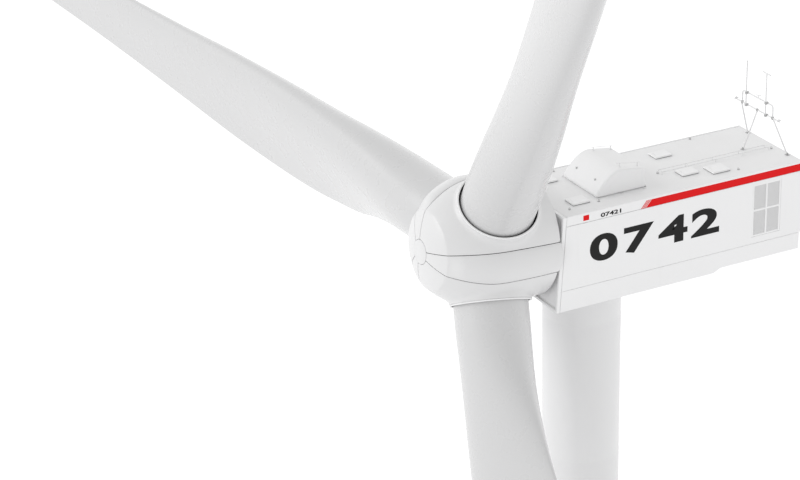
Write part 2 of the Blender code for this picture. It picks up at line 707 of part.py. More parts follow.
# ---- blades ----
def section_point(turn, share):
    """Point round a section of unit chord, x from -0.5 (nose) to 0.5 (tail); turn in radians."""
    round_x = -0.5 * math.cos(turn)
    round_y = 0.5 * math.sin(turn)
    along = 0.5 - 0.5 * math.cos(turn)
    wing = 5 * (0.2969 * math.sqrt(along) - 0.1260 * along - 0.3516 * along ** 2
                + 0.2843 * along ** 3 - 0.1015 * along ** 4)
    camber = 0.10 * along * (1 - along)
    half = wing * share * (1.0 if turn > math.pi else 0.85)
    wing_y = (half if turn <= math.pi else -half) - camber
    if turn <= math.pi:
        wing_y += 0.004
    mix = min(max((share - 0.30) / 0.70, 0.0), 1.0) ** 1.2
    return round_x, round_y * mix * share + wing_y * (1 - mix)


def build_blade(index, degrees, parts):
    """A blade lofted through its stations, about its pitch axis from the hub centre."""
    axis = blade_axis(degrees)
    angle = math.radians(degrees)
    tail = -ROTOR_UP * math.sin(angle) - Vector((1, 0, 0)) * math.cos(angle)
    place = frame_matrix(HUB, axis, tail)
    bm = bmesh.new()
    rings = []
    for r, chord, ahead, share, twist, bend in BLADE_STATIONS:
        spin = Matrix.Rotation(math.radians(-twist), 3, "Z")
        loop = []
        for i in range(SECTION_POINTS):
            x, y = section_point(2 * math.pi * (i + 0.5) / SECTION_POINTS, share)
            point = spin @ Vector(((x + 0.5 - ahead) * chord, y * chord, 0.0))
            loop.append(bm.verts.new((point.x, point.y + bend, r)))
        rings.append(loop)
    for lower, upper in zip(rings, rings[1:]):
        for i in range(SECTION_POINTS):
            j = (i + 1) % SECTION_POINTS
            bm.faces.new((lower[i], lower[j], upper[j], upper[i]))
    bm.faces.new(rings[0])
    bm.faces.new(rings[-1])
    blade = mesh_object(f"blade_{index}", bm, parts)
    blade.matrix_world = place
    for face in blade.data.polygons:
        face.use_smooth = True
    paint(blade, WHITE, 0.25)
    return blade, place


# ---- assembly ----
def main():
    clear_scene()
    parts = new_collection("wind_turbine_head")
    cutters = new_collection("cutters")
    joints = new_collection("joints")

    build_tower(parts)
    nacelle = build_sides(parts, cutters)
    nacelle += build_ends(parts, cutters)
    nacelle += build_inside(parts, cutters)
    nacelle += build_fairing(parts)
    nacelle += build_hatches(parts)
    nacelle += build_roof_rail(parts, cutters)
    nacelle += build_mast(parts, cutters)
    yaw = joint_empty("yaw_axis", Matrix.Identity(4), None, joints)
    parent_to(nacelle, yaw)

    rotor = build_spinner(parts, cutters)
    rotor.append(build_hub(parts, cutters))
    spin = joint_empty("rotor_axis", frame_matrix(HUB, ROTOR_AXIS, Vector((1, 0, 0))), yaw, joints)
    parent_to(rotor, spin)

    for index, degrees in enumerate(BLADE_ANGLES, 1):
        blade, place = build_blade(index, degrees, parts)
        pitch = joint_empty(f"pitch_axis_{index}", place, spin, joints)
        bpy.context.view_layer.update()
        parent_to([blade], pitch)


main()
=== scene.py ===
import itertools
import json
import math
import bpy
import numpy as np
from mathutils import Matrix, Vector


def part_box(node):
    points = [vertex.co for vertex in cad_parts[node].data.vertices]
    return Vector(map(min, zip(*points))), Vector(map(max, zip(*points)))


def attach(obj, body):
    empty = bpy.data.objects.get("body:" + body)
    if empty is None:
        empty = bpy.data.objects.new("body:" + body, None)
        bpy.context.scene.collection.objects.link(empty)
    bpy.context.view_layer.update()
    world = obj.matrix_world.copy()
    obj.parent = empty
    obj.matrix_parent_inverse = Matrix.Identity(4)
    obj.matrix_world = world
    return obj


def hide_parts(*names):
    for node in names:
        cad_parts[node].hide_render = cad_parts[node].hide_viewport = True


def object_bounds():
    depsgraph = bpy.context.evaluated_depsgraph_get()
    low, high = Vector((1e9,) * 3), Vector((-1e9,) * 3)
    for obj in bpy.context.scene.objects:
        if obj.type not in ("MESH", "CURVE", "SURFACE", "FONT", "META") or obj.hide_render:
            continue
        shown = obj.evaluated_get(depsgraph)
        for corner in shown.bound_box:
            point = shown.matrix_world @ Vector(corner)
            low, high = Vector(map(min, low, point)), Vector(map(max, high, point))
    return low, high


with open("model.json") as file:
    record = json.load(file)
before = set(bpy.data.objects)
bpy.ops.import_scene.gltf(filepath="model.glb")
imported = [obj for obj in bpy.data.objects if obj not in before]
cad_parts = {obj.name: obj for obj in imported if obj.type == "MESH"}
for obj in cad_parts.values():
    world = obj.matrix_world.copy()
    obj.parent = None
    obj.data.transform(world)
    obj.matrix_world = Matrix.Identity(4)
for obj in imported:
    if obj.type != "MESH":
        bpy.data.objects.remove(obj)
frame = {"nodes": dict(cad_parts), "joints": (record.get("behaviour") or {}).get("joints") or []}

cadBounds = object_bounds()

# where things are, read from the frame
joints = {joint["name"]: joint for joint in frame["joints"]}
hub = Vector(joints["rotor_spin"]["pos_m"])
rotorAxis = Vector(joints["rotor_spin"]["axis"]).normalized()
rotorSide = Vector((1, 0, 0))
rotorUp = rotorSide.cross(rotorAxis)
if rotorUp.z < 0:
    rotorUp = -rotorUp
bladeAxes = [-Vector(joints[f"blade_pitch_{i}"]["axis"]).normalized() for i in (1, 2, 3)]
sides = {"right": 1, "left": -1}
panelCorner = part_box("side_panel_right")[1]
sideX, rearY = panelCorner.x, panelCorner.y
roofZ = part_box("roof_panel")[1].z
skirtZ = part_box("side_skirt_right")[0].z


# ---- small tools ----
def deselectAll():
    bpy.ops.object.select_all(action="DESELECT")


def focusOn(obj):
    deselectAll()
    obj.select_set(True)
    bpy.context.view_layer.objects.active = obj


def editAll(obj, mode="FACE"):
    focusOn(obj)
    bpy.ops.object.mode_set(mode="EDIT")
    bpy.ops.mesh.select_mode(type=mode)
    bpy.ops.mesh.select_all(action="SELECT")


def leaveEdit():
    bpy.ops.object.mode_set(mode="OBJECT")


def weldPoints(obj, distance=1e-6):
    editAll(obj, "VERT")
    bpy.ops.mesh.remove_doubles(threshold=distance)
    leaveEdit()


def applyModifier(obj, kind, **values):
    modifier = obj.modifiers.new(kind.title(), kind)
    for key, value in values.items():
        setattr(modifier, key, value)
    focusOn(obj)
    bpy.ops.object.modifier_apply(modifier=modifier.name)


def roundEdges(obj, width, segments=3, angle=35):
    applyModifier(obj, "BEVEL", width=width, segments=segments, limit_method="ANGLE",
                  angle_limit=math.radians(angle), use_clamp_overlap=True)


def axisMatrix(origin, axis, hint=Vector((1, 0, 0))):
    # local Z runs along the axis, local X leans towards the hint
    z = Vector(axis).normalized()
    x = (Vector(hint) - z * z.dot(Vector(hint))).normalized()
    matrix = Matrix((x, z.cross(x), z)).transposed().to_4x4()
    matrix.translation = origin
    return matrix


def takeMade(name):
    # the object that an operator has just added, with its place moved into its mesh
    obj = bpy.context.active_object
    obj.name = name
    focusOn(obj)
    bpy.ops.object.transform_apply(location=True, rotation=True, scale=True)
    return obj


def addBox(name, low, high, bevel=0.0, segments=2):
    size = [b - a for a, b in zip(low, high)]
    middle = [(a + b) / 2 for a, b in zip(low, high)]
    deselectAll()
    bpy.ops.mesh.primitive_cube_add(size=1, location=middle)
    bpy.context.active_object.scale = size
    obj = takeMade(name)
    if bevel:
        roundEdges(obj, bevel, segments)
    return obj


def addRod(name, start, end, radius, sidesCount=24, bevel=0.0, endRadius=None):
    start, end = Vector(start), Vector(end)
    deselectAll()
    bpy.ops.mesh.primitive_cone_add(vertices=sidesCount, radius1=radius,
                                    radius2=radius if endRadius is None else endRadius,
                                    depth=(end - start).length)
    bpy.context.active_object.matrix_world = axisMatrix((start + end) / 2, end - start,
                                                        Vector((0.01, 1, 0.02)))
    obj = takeMade(name)
    if bevel:
        roundEdges(obj, bevel, 2)
    return obj


def addPost(name, place, height, radius, sidesCount=24, bevel=0.0):
    # a rod that stands straight up from a place
    x, y, z = place
    return addRod(name, (x, y, z), (x, y, z + height), radius, sidesCount, bevel)


def addRing(name, origin, axis, inner, outer, low, high, bevel, steps=128):
    # a tube wall: an open cylinder, thickened inwards and rounded
    deselectAll()
    bpy.ops.mesh.primitive_cylinder_add(vertices=steps, radius=outer, depth=high - low,
                                        end_fill_type="NOTHING")
    matrix = axisMatrix(origin, axis)
    matrix.translation = Vector(origin) + Vector(axis).normalized() * (low + high) / 2
    bpy.context.active_object.matrix_world = matrix
    obj = takeMade(name)
    applyModifier(obj, "SOLIDIFY", thickness=outer - inner, offset=-1)
    roundEdges(obj, bevel, 3, 50)
    return obj


def addOutline(name, points, depth, matrix, bevel=0.0, segments=3):
    # a flat face with as many corners as the outline, set to it and extruded
    deselectAll()
    bpy.ops.mesh.primitive_circle_add(vertices=len(points), radius=1, fill_type="NGON")
    obj = bpy.context.active_object
    obj.name = name
    for vert, (u, v) in zip(obj.data.vertices, points):
        vert.co = (u, v, -depth / 2)
    editAll(obj)
    bpy.ops.mesh.extrude_region_move(TRANSFORM_OT_translate={"value": (0, 0, depth)})
    bpy.ops.mesh.select_all(action="SELECT")
    bpy.ops.mesh.normals_make_consistent(inside=False)
    leaveEdit()
    obj.data.transform(matrix)
    if bevel:
        roundEdges(obj, bevel, segments, 50)
    return obj


def addTube(name, points, radius, resolution):
    # a round bar along straight runs, made a mesh with welded caps
    curve = bpy.data.curves.new(name, "CURVE")
    curve.dimensions = "3D"
    curve.bevel_depth = radius
    curve.bevel_resolution = resolution
    curve.use_fill_caps = True
    spline = curve.splines.new("POLY")
    spline.points.add(len(points) - 1)
    for point, co in zip(spline.points, points):
        point.co = (*co, 1)
    obj = bpy.data.objects.new(name, curve)
    bpy.context.scene.collection.objects.link(obj)
    focusOn(obj)
    bpy.ops.object.convert(target="MESH")
    weldPoints(obj)
    return obj


def joinPieces(name, pieces):
    deselectAll()
    for piece in pieces:
        piece.select_set(True)
    bpy.context.view_layer.objects.active = pieces[0]
    if len(pieces) > 1:
        bpy.ops.object.join()
    pieces[0].name = name
    pieces[0].data.name = name
    return pieces[0]


def wrapGrid(name, columns, rows, place, weld=1e-6):
    # a grid whose points are moved by place(u, v), welded where it closes on itself
    deselectAll()
    bpy.ops.mesh.primitive_grid_add(x_subdivisions=columns, y_subdivisions=rows, size=2)
    obj = bpy.context.active_object
    obj.name = name
    flat = np.empty(len(obj.data.vertices) * 3)
    obj.data.vertices.foreach_get("co", flat)
    grid = flat.reshape(-1, 3)
    u = np.rint((grid[:, 0] + 1) / 2 * columns).astype(int)
    v = np.rint((grid[:, 1] + 1) / 2 * rows).astype(int)
    obj.data.vertices.foreach_set("co", place(u, v).ravel())
    editAll(obj, "VERT")
    bpy.ops.mesh.remove_doubles(threshold=weld)
    bpy.ops.mesh.select_all(action="SELECT")
    bpy.ops.mesh.normals_make_consistent(inside=False)
    leaveEdit()
    return obj


def refinedCopy(node, name, bevel):
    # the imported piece's own shape, merged, with its edges rounded
    obj = bpy.data.objects.new(name, frame["nodes"][node].data.copy())
    bpy.context.scene.collection.objects.link(obj)
    editAll(obj, "VERT")
    bpy.ops.mesh.remove_doubles(threshold=1e-5)
    bpy.ops.mesh.select_all(action="SELECT")
    bpy.ops.mesh.dissolve_limited(angle_limit=math.radians(1))
    leaveEdit()
    roundEdges(obj, bevel)
    return obj


def finishPiece(obj, material, body, replaces=(), smooth=35, weighted=False):
    obj.data.materials.clear()
    obj.data.materials.append(material)
    focusOn(obj)
    bpy.ops.object.shade_smooth_by_angle(angle=math.radians(smooth))
    if weighted:
        applyModifier(obj, "WEIGHTED_NORMAL", weight=60, keep_sharp=True)
    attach(obj, body)
    if replaces:
        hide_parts(*replaces)
    return obj


# ---- shared shader groups ----
def newGroup(name, inputs, outputs):
    tree = bpy.data.node_groups.new(name, "ShaderNodeTree")
    for label, kind, value in inputs:
        socket = tree.interface.new_socket(name=label, in_out="INPUT", socket_type=kind)
        socket.default_value = value
    for label, kind in outputs:
        tree.interface.new_socket(name=label, in_out="OUTPUT", socket_type=kind)
    return tree, tree.nodes.new("NodeGroupInput"), tree.nodes.new("NodeGroupOutput")


def addNode(tree, kind, **values):
    node = tree.nodes.new(kind)
    for key, value in values.items():
        if key in node.inputs:
            node.inputs[key].default_value = value
        else:
            setattr(node, key, value)
    return node


def addMath(tree, operation, a, b=None, clamp=False):
    node = tree.nodes.new("ShaderNodeMath")
    node.operation = operation
    node.use_clamp = clamp
    for socket, value in zip(node.inputs, (a, b)):
        if value is None:
            continue
        if isinstance(value, (int, float)):
            socket.default_value = value
        else:
            tree.links.new(value, socket)
    return node.outputs[0]


def addMix(tree, factor, a, b):
    node = tree.nodes.new("ShaderNodeMix")
    node.data_type = "RGBA"
    for socket, value in ((node.inputs[0], factor), (node.inputs[6], a), (node.inputs[7], b)):
        if isinstance(value, (int, float, tuple)):
            socket.default_value = value
        else:
            tree.links.new(value, socket)
    return node.outputs[2]


def addNoise(tree, scale, detail, stretch=None, roughness=0.55):
    coords = tree.nodes.new("ShaderNodeTexCoord").outputs["Object"]
    if stretch:
        mapping = tree.nodes.new("ShaderNodeMapping")
        mapping.inputs["Scale"].default_value = stretch
        tree.links.new(coords, mapping.inputs["Vector"])
        coords = mapping.outputs[0]
    noise = addNode(tree, "ShaderNodeTexNoise", Detail=detail, Roughness=roughness)
    tree.links.new(coords, noise.inputs["Vector"])
    if isinstance(scale, (int, float)):
        noise.inputs["Scale"].default_value = scale
    else:
        tree.links.new(scale, noise.inputs["Scale"])
    return noise.outputs["Fac"]


def buildCoatGroup():
    # painted or gel-coated skin: slow tone drift, faint runs of grime, dust on top, orange peel
    tree, source, target = newGroup("paintedSkin", [
        ("Color", "NodeSocketColor", (0.8, 0.8, 0.8, 1)),
        ("Grime Color", "NodeSocketColor", (0.42, 0.41, 0.38, 1)),
        ("Tone Drift", "NodeSocketFloat", 0.04),
        ("Runs", "NodeSocketFloat", 0.1),
        ("Top Dust", "NodeSocketFloat", 0.0),
        ("Roughness", "NodeSocketFloat", 0.4),
        ("Peel Scale", "NodeSocketFloat", 420.0),
    ], [("Color", "NodeSocketColor"), ("Roughness", "NodeSocketFloat"), ("Height", "NodeSocketFloat")])
    drift = addNoise(tree, scale=2.6, detail=4.0)
    patch = addNoise(tree, scale=11.0, detail=5.0)
    runs = addNoise(tree, scale=1.0, detail=5.0, stretch=(34.0, 34.0, 1.6), roughness=0.7)
    peel = addNoise(tree, scale=source.outputs["Peel Scale"], detail=2.0)
    speck = addNoise(tree, scale=260.0, detail=1.0)
    driftAmount = addMath(tree, "MULTIPLY", addMath(tree, "SUBTRACT", drift, 0.5),
                          source.outputs["Tone Drift"])
    runMask = addMath(tree, "MULTIPLY", addMath(tree, "SUBTRACT", runs, 0.52), 4.0, True)
    patchMask = addMath(tree, "MULTIPLY", addMath(tree, "SUBTRACT", patch, 0.38), 3.0, True)
    runAmount = addMath(tree, "MULTIPLY", addMath(tree, "MULTIPLY", runMask, patchMask),
                        source.outputs["Runs"], True)
    speckMask = addMath(tree, "MULTIPLY", addMath(tree, "SUBTRACT", speck, 0.71), 9.0, True)
    runAmount = addMath(tree, "ADD", runAmount, addMath(tree, "MULTIPLY", speckMask, 0.10), True)
    geometry = tree.nodes.new("ShaderNodeNewGeometry")
    split = tree.nodes.new("ShaderNodeSeparateXYZ")
    tree.links.new(geometry.outputs["Normal"], split.inputs[0])
    up = addMath(tree, "MULTIPLY", addMath(tree, "SUBTRACT", split.outputs[2], 0.55), 2.4, True)
    dust = addMath(tree, "MULTIPLY", addMath(tree, "MULTIPLY", up, source.outputs["Top Dust"]),
                   addMath(tree, "ADD", addMath(tree, "MULTIPLY", patch, 0.8), 0.6), True)
    gray = addMath(tree, "ADD", driftAmount, 0.5, True)
    shade = tree.nodes.new("ShaderNodeHueSaturation")
    tree.links.new(source.outputs["Color"], shade.inputs["Color"])
    tree.links.new(addMath(tree, "ADD", gray, 0.5), shade.inputs["Value"])
    dirty = addMix(tree, runAmount, shade.outputs[0], source.outputs["Grime Color"])
    dusty = addMix(tree, dust, dirty, source.outputs["Grime Color"])
    rough = addMath(tree, "ADD", source.outputs["Roughness"],
                    addMath(tree, "MULTIPLY", addMath(tree, "SUBTRACT", patch, 0.5), 0.16))
    rough = addMath(tree, "ADD", rough, addMath(tree, "MULTIPLY", runAmount, 0.3), True)
    tree.links.new(dusty, target.inputs["Color"])
    tree.links.new(rough, target.inputs["Roughness"])
    tree.links.new(peel, target.inputs["Height"])
    return tree


def buildMetalGroup():
    # galvanised or cast metal: cells or grain, darker pits, fine scratches
    tree, source, target = newGroup("bareMetal", [
        ("Color", "NodeSocketColor", (0.5, 0.5, 0.5, 1)),
        ("Cell Scale", "NodeSocketFloat", 90.0),
        ("Cell Contrast", "NodeSocketFloat", 0.2),
        ("Roughness", "NodeSocketFloat", 0.45),
    ], [("Color", "NodeSocketColor"), ("Roughness", "NodeSocketFloat"), ("Height", "NodeSocketFloat")])
    coords = tree.nodes.new("ShaderNodeTexCoord").outputs["Object"]
    cells = tree.nodes.new("ShaderNodeTexVoronoi")
    tree.links.new(coords, cells.inputs["Vector"])
    tree.links.new(source.outputs["Cell Scale"], cells.inputs["Scale"])
    split = tree.nodes.new("ShaderNodeSeparateXYZ")
    tree.links.new(cells.outputs["Color"], split.inputs[0])
    grain = addNoise(tree, scale=320.0, detail=4.0)
    value = addMath(tree, "MULTIPLY", addMath(tree, "SUBTRACT", split.outputs[0], 0.5),
                    source.outputs["Cell Contrast"])
    shade = tree.nodes.new("ShaderNodeHueSaturation")
    tree.links.new(source.outputs["Color"], shade.inputs["Color"])
    tree.links.new(addMath(tree, "ADD", value, 1.0), shade.inputs["Value"])
    rough = addMath(tree, "ADD", source.outputs["Roughness"],
                    addMath(tree, "MULTIPLY", addMath(tree, "SUBTRACT", grain, 0.5), 0.25), True)
    tree.links.new(shade.outputs[0], target.inputs["Color"])
    tree.links.new(rough, target.inputs["Roughness"])
    tree.links.new(grain, target.inputs["Height"])
    return tree


paintedSkin = buildCoatGroup()
bareMetal = buildMetalGroup()


def groupMaterial(name, group, values, bump, metallic=0.0, coat=0.0, specular=0.5, sheen=0.0):
    material = bpy.data.materials.new(name)
    material.use_nodes = True
    tree = material.node_tree
    shader = tree.nodes["Principled BSDF"]
    node = tree.nodes.new("ShaderNodeGroup")
    node.node_tree = group
    for key, value in values.items():
        node.inputs[key].default_value = value
    tree.links.new(node.outputs["Color"], shader.inputs["Base Color"])
    tree.links.new(node.outputs["Roughness"], shader.inputs["Roughness"])
    bumpNode = tree.nodes.new("ShaderNodeBump")
    bumpNode.inputs["Strength"].default_value = bump[0]
    bumpNode.inputs["Distance"].default_value = bump[1]
    tree.links.new(node.outputs["Height"], bumpNode.inputs["Height"])
    tree.links.new(bumpNode.outputs["Normal"], shader.inputs["Normal"])
    shader.inputs["Metallic"].default_value = metallic
    shader.inputs["Coat Weight"].default_value = coat
    shader.inputs["Coat Roughness"].default_value = 0.22
    shader.inputs["Specular IOR Level"].default_value = specular
    shader.inputs["Sheen Weight"].default_value = sheen
    shader.inputs["Sheen Roughness"].default_value = 0.3
    return material


def gray(value):
    return (value, value, value * 1.004, 1)


shellWhite = groupMaterial("shellWhite", paintedSkin, {
    "Color": gray(0.92), "Tone Drift": 0.04, "Runs": 0.06, "Top Dust": 0.04, "Roughness": 0.42,
    "Peel Scale": 380.0}, (0.10, 0.0004))
roofWhite = groupMaterial("roofWhite", paintedSkin, {
    "Color": gray(0.88), "Tone Drift": 0.06, "Runs": 0.05, "Top Dust": 0.05, "Roughness": 0.5,
    "Peel Scale": 240.0}, (0.16, 0.0006))
spinnerWhite = groupMaterial("spinnerWhite", paintedSkin, {
    "Color": gray(0.77), "Tone Drift": 0.03, "Runs": 0.02, "Roughness": 0.34,
    "Peel Scale": 420.0}, (0.05, 0.0003), coat=0.3, sheen=0.2)
# painted shade: the blades' white is set much darker than the nacelle's, so their faces read grey between
# glossy edges
bladeShadedWhite = groupMaterial("bladeShadedWhite", paintedSkin, {
    "Color": gray(0.64), "Tone Drift": 0.03, "Runs": 0.02, "Roughness": 0.28,
    "Peel Scale": 300.0}, (0.03, 0.0003), coat=0.6, sheen=0.4)
towerWhite = groupMaterial("towerWhite", paintedSkin, {
    "Color": gray(0.79), "Tone Drift": 0.04, "Runs": 0.05, "Roughness": 0.36,
    "Peel Scale": 500.0}, (0.08, 0.0004), coat=0.4, sheen=0.3)
flangeGray = groupMaterial("flangeGray", paintedSkin, {
    "Color": gray(0.52), "Tone Drift": 0.10, "Runs": 0.25, "Roughness": 0.45,
    "Peel Scale": 700.0}, (0.25, 0.0005))
castGray = groupMaterial("castGray", bareMetal, {
    "Color": gray(0.20), "Cell Scale": 160.0, "Cell Contrast": 0.22, "Roughness": 0.6},
    (0.5, 0.0008), metallic=0.35)
galvanised = groupMaterial("galvanised", bareMetal, {
    "Color": gray(0.58), "Cell Scale": 340.0, "Cell Contrast": 0.30, "Roughness": 0.42},
    (0.2, 0.0003), metallic=0.75)
mastGray = groupMaterial("mastGray", bareMetal, {
    "Color": gray(0.80), "Cell Scale": 420.0, "Cell Contrast": 0.12, "Roughness": 0.5},
    (0.15, 0.0002))
fittingGray = groupMaterial("fittingGray", bareMetal, {
    "Color": gray(0.48), "Cell Scale": 500.0, "Cell Contrast": 0.25, "Roughness": 0.5},
    (0.3, 0.0003), metallic=0.3)
louvreGray = groupMaterial("louvreGray", paintedSkin, {
    "Color": gray(0.76), "Tone Drift": 0.06, "Runs": 0.12, "Roughness": 0.55,
    "Peel Scale": 600.0}, (0.15, 0.0004))
# dark grey for the band under each hatch lid: a gasket, and painted shade of the gap under the lid
gasketAndShadeGray = groupMaterial("gasketAndShadeGray", paintedSkin, {
    "Color": gray(0.30), "Tone Drift": 0.2, "Runs": 0.1, "Roughness": 0.7,
    "Peel Scale": 900.0}, (0.4, 0.0005), specular=0.3)
# near-black painted shade: it fills gaps, pockets and seams where only shade falls
paintedShadeBlack = groupMaterial("paintedShadeBlack", paintedSkin, {
    "Color": gray(0.03), "Tone Drift": 0.2, "Runs": 0.1, "Roughness": 0.8,
    "Peel Scale": 900.0}, (0.4, 0.0005), specular=0.2)
stripeRed = groupMaterial("stripeRed", paintedSkin, {
    "Color": (0.78, 0.006, 0.008, 1), "Grime Color": (0.45, 0.04, 0.04, 1), "Tone Drift": 0.06,
    "Runs": 0.08, "Roughness": 0.45, "Peel Scale": 500.0}, (0.08, 0.0003), specular=0.15)
markBlack = groupMaterial("markBlack", paintedSkin, {
    "Color": gray(0.016), "Grime Color": gray(0.08), "Tone Drift": 0.2, "Runs": 0.15,
    "Roughness": 0.5, "Peel Scale": 500.0}, (0.08, 0.0003), specular=0.15)
print("materials ready")


# ---- tower section ----
towerSetup = {"steps": 192, "wall": 0.008, "welds": (0.62, 1.24, 1.86), "weldWidth": 0.0030,
              "weldDip": 0.0007, "bolts": 36, "boltCircle": 0.138, "boltR": 0.0042, "boltH": 0.004}


def buildTower(setup):
    low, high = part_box("tower_shell")
    radius = high.x
    deselectAll()
    bpy.ops.mesh.primitive_cylinder_add(vertices=setup["steps"], radius=radius, depth=high.z - low.z,
                                        end_fill_type="NOTHING", location=(0, 0, (low.z + high.z) / 2))
    shell = takeMade("tower_skin")
    for weld in setup["welds"]:        # each weld seam: three cuts, the middle one drawn in a little
        for offset in (-1, 0, 1):
            editAll(shell)
            bpy.ops.mesh.bisect(plane_co=(0, 0, weld + offset * setup["weldWidth"]), plane_no=(0, 0, 1))
            if offset == 0:
                size = 1 - setup["weldDip"] / radius
                bpy.ops.transform.resize(value=(size, size, 1), center_override=(0, 0, weld))
            leaveEdit()
    applyModifier(shell, "SOLIDIFY", thickness=setup["wall"], offset=-1)
    finishPiece(shell, towerWhite, "tower", ["tower_shell"], 30)
    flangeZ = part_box("tower_upper_flange")[0].z
    bolts = []
    for i in range(setup["bolts"]):
        angle = 2 * math.pi * i / setup["bolts"]
        place = (setup["boltCircle"] * math.cos(angle), setup["boltCircle"] * math.sin(angle),
                 flangeZ - setup["boltH"])
        bolts.append(addPost("bolt", place, setup["boltH"], setup["boltR"], 6))
    finishPiece(joinPieces("tower_flange_bolts", bolts), galvanised, "tower")


buildTower(towerSetup)
print("tower ready")


# ---- nacelle housing ----
housingSetup = {"panelEdge": 0.0012, "bandEdge": 0.0030, "rimEdge": 0.0024, "roofEdge": 0.0010}


def buildHousing(setup):
    skins = [(part + label, edge, shellWhite) for label in sides
             for part, edge in (("side_skirt_", "panelEdge"), ("side_panel_", "panelEdge"),
                                ("side_band_", "bandEdge"))]
    skins += [("front_frame", "rimEdge", shellWhite), ("roof_panel", "roofEdge", roofWhite),
              ("rear_wall", "panelEdge", shellWhite)]
    for node, edge, material in skins:
        piece = refinedCopy(node, node + "_skin", setup[edge])
        finishPiece(piece, material, "nacelle", [node], weighted=True)


buildHousing(housingSetup)
print("housing ready")


# ---- louvres ----
louvreSetup = {"bar": 0.008, "barStep": 0.0003, "barEdge": 0.0008, "depth": 0.0040, "slats": 30,
               "slatT": 0.0007, "slatOverlap": 1.04, "slatSink": 0.0026, "tilt": 16, "backT": 0.003,
               "backEdge": 0.0004}


def addSideBox(name, xs, ys, zs, bevel):
    # a box between two limits along each axis, those along X in either order
    return addBox(name, (min(xs), ys[0], zs[0]), (max(xs), ys[1], zs[1]), bevel)


def buildLouvre(label, setup):
    low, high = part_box("louvre_" + label)
    side = sides[label]
    outer = high.x if side > 0 else low.x
    floor = outer - side * setup["depth"]
    bar, slatT = setup["bar"], setup["slatT"]
    paneW = (high.y - low.y - 3 * bar) / 2
    paneH = (high.z - low.z - 3 * bar) / 2
    bars = []
    for i in range(3):
        y = low.y + i * (paneW + bar)
        z = low.z + i * (paneH + bar)
        bars.append(addSideBox("bar", (floor, outer), (y, y + bar), (low.z, high.z), setup["barEdge"]))
        bars.append(addSideBox("bar", (floor, outer - side * setup["barStep"]), (low.y, high.y),
                               (z, z + bar), setup["barEdge"]))
    finishPiece(joinPieces("louvre_frame_" + label, bars), shellWhite, "nacelle")
    slats = []
    pitch = paneH / setup["slats"]
    half = pitch * setup["slatOverlap"] / 2
    turn = Matrix.Rotation(side * math.radians(setup["tilt"]), 4, "Y")
    for row, column, i in itertools.product(range(2), range(2), range(setup["slats"])):
        y = low.y + bar + column * (paneW + bar)
        z = low.z + bar + row * (paneH + bar)
        centre = (outer - side * setup["slatSink"], y + paneW / 2, z + (i + 0.5) * pitch)
        slat = addBox("slat", (-slatT / 2, -paneW / 2, -half), (slatT / 2, paneW / 2, half))
        slat.data.transform(Matrix.Translation(centre) @ turn)
        slats.append(slat)
    finishPiece(joinPieces("louvre_slats_" + label, slats), louvreGray, "nacelle")
    back = addSideBox("louvre_back_" + label, (floor, floor - side * setup["backT"]), (low.y, high.y),
                      (low.z, high.z), setup["backEdge"])
    finishPiece(back, louvreGray, "nacelle", ["louvre_" + label])


for label in sides:
    buildLouvre(label, louvreSetup)
print("louvres ready")


# ---- roof fairing with its tabs and guards ----
fairingSetup = {"nose": 0.0137, "flatShare": 0.4912, "rearShare": 0.84, "fullness": 0.85, "edge": 0.010,
                "steps": 26, "spread": 1.3, "lean": 0.006}
fairingLow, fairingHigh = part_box("roof_fairing")
fairingFlatY = fairingLow.y + (fairingHigh.y - fairingLow.y) * fairingSetup["flatShare"]


def fairingTop(y, setup):
    # a full round front that meets a top falling away to the rear
    height = fairingHigh.z - fairingLow.z
    if y <= fairingFlatY:
        share = (y - fairingLow.y) / (fairingFlatY - fairingLow.y)
        return setup["nose"] + (height - setup["nose"]) * math.sin(share * math.pi / 2) ** setup["fullness"]
    rear = fairingHigh.y - setup["lean"]
    return height * (1 - (1 - setup["rearShare"]) * (y - fairingFlatY) / (rear - fairingFlatY))


def buildFairing(setup):
    low, high = fairingLow, fairingHigh
    outline = [(low.y, 0.0)]
    for i in range(setup["steps"] + 1):
        y = low.y + (fairingFlatY - low.y) * (i / setup["steps"]) ** setup["spread"]
        outline.append((y, fairingTop(y, setup)))
    rear = high.y - setup["lean"]
    outline += [(rear, fairingTop(rear, setup)), (high.y, 0.0)]
    matrix = Matrix(((0, 0, 1, 0), (1, 0, 0, 0), (0, 1, 0, low.z), (0, 0, 0, 1)))
    fairing = addOutline("fairing_skin", outline, high.x - low.x, matrix, setup["edge"], 5)
    finishPiece(fairing, roofWhite, "nacelle", ["roof_fairing"], 32, True)


tabSetup = {"width": 0.010, "length": 0.013, "height": 0.0014, "lift": 0.0002, "overlap": 0.0006,
            "edge": 0.0005, "frontIn": 0.004, "rearIn": 0.010, "boltOut": 0.002, "boltR": 0.0022,
            "boltH": 0.002}


def buildFairingTabs(setup):
    # three bolted tabs along each side of the fairing
    halfW, halfL, height = setup["width"] / 2, setup["length"] / 2, setup["height"]
    tabs = []
    for side in sides.values():
        for y in (fairingLow.y + setup["frontIn"], (fairingLow.y + fairingHigh.y) / 2,
                  fairingHigh.y - setup["rearIn"]):
            x = side * (fairingHigh.x + halfW - setup["overlap"])
            tabs.append(addBox("tab", (x - halfW, y - halfL, roofZ + setup["lift"]),
                               (x + halfW, y + halfL, roofZ + height), setup["edge"]))
            tabs.append(addPost("tab", (x + side * setup["boltOut"], y, roofZ + height), setup["boltH"],
                                setup["boltR"], 6))
    finishPiece(joinPieces("fairing_tabs", tabs), mastGray, "nacelle")


guardSetup = {"postR": 0.0017, "postH": 0.0165, "postEdge": 0.0004, "footR": 0.0042, "footH": 0.0024,
              "footEdge": 0.0005, "sink": 0.0006, "wireR": 0.0010, "wireZ": 0.0150, "wireEdge": 0.0003,
              "ahead": 0.18, "behind": 0.13}


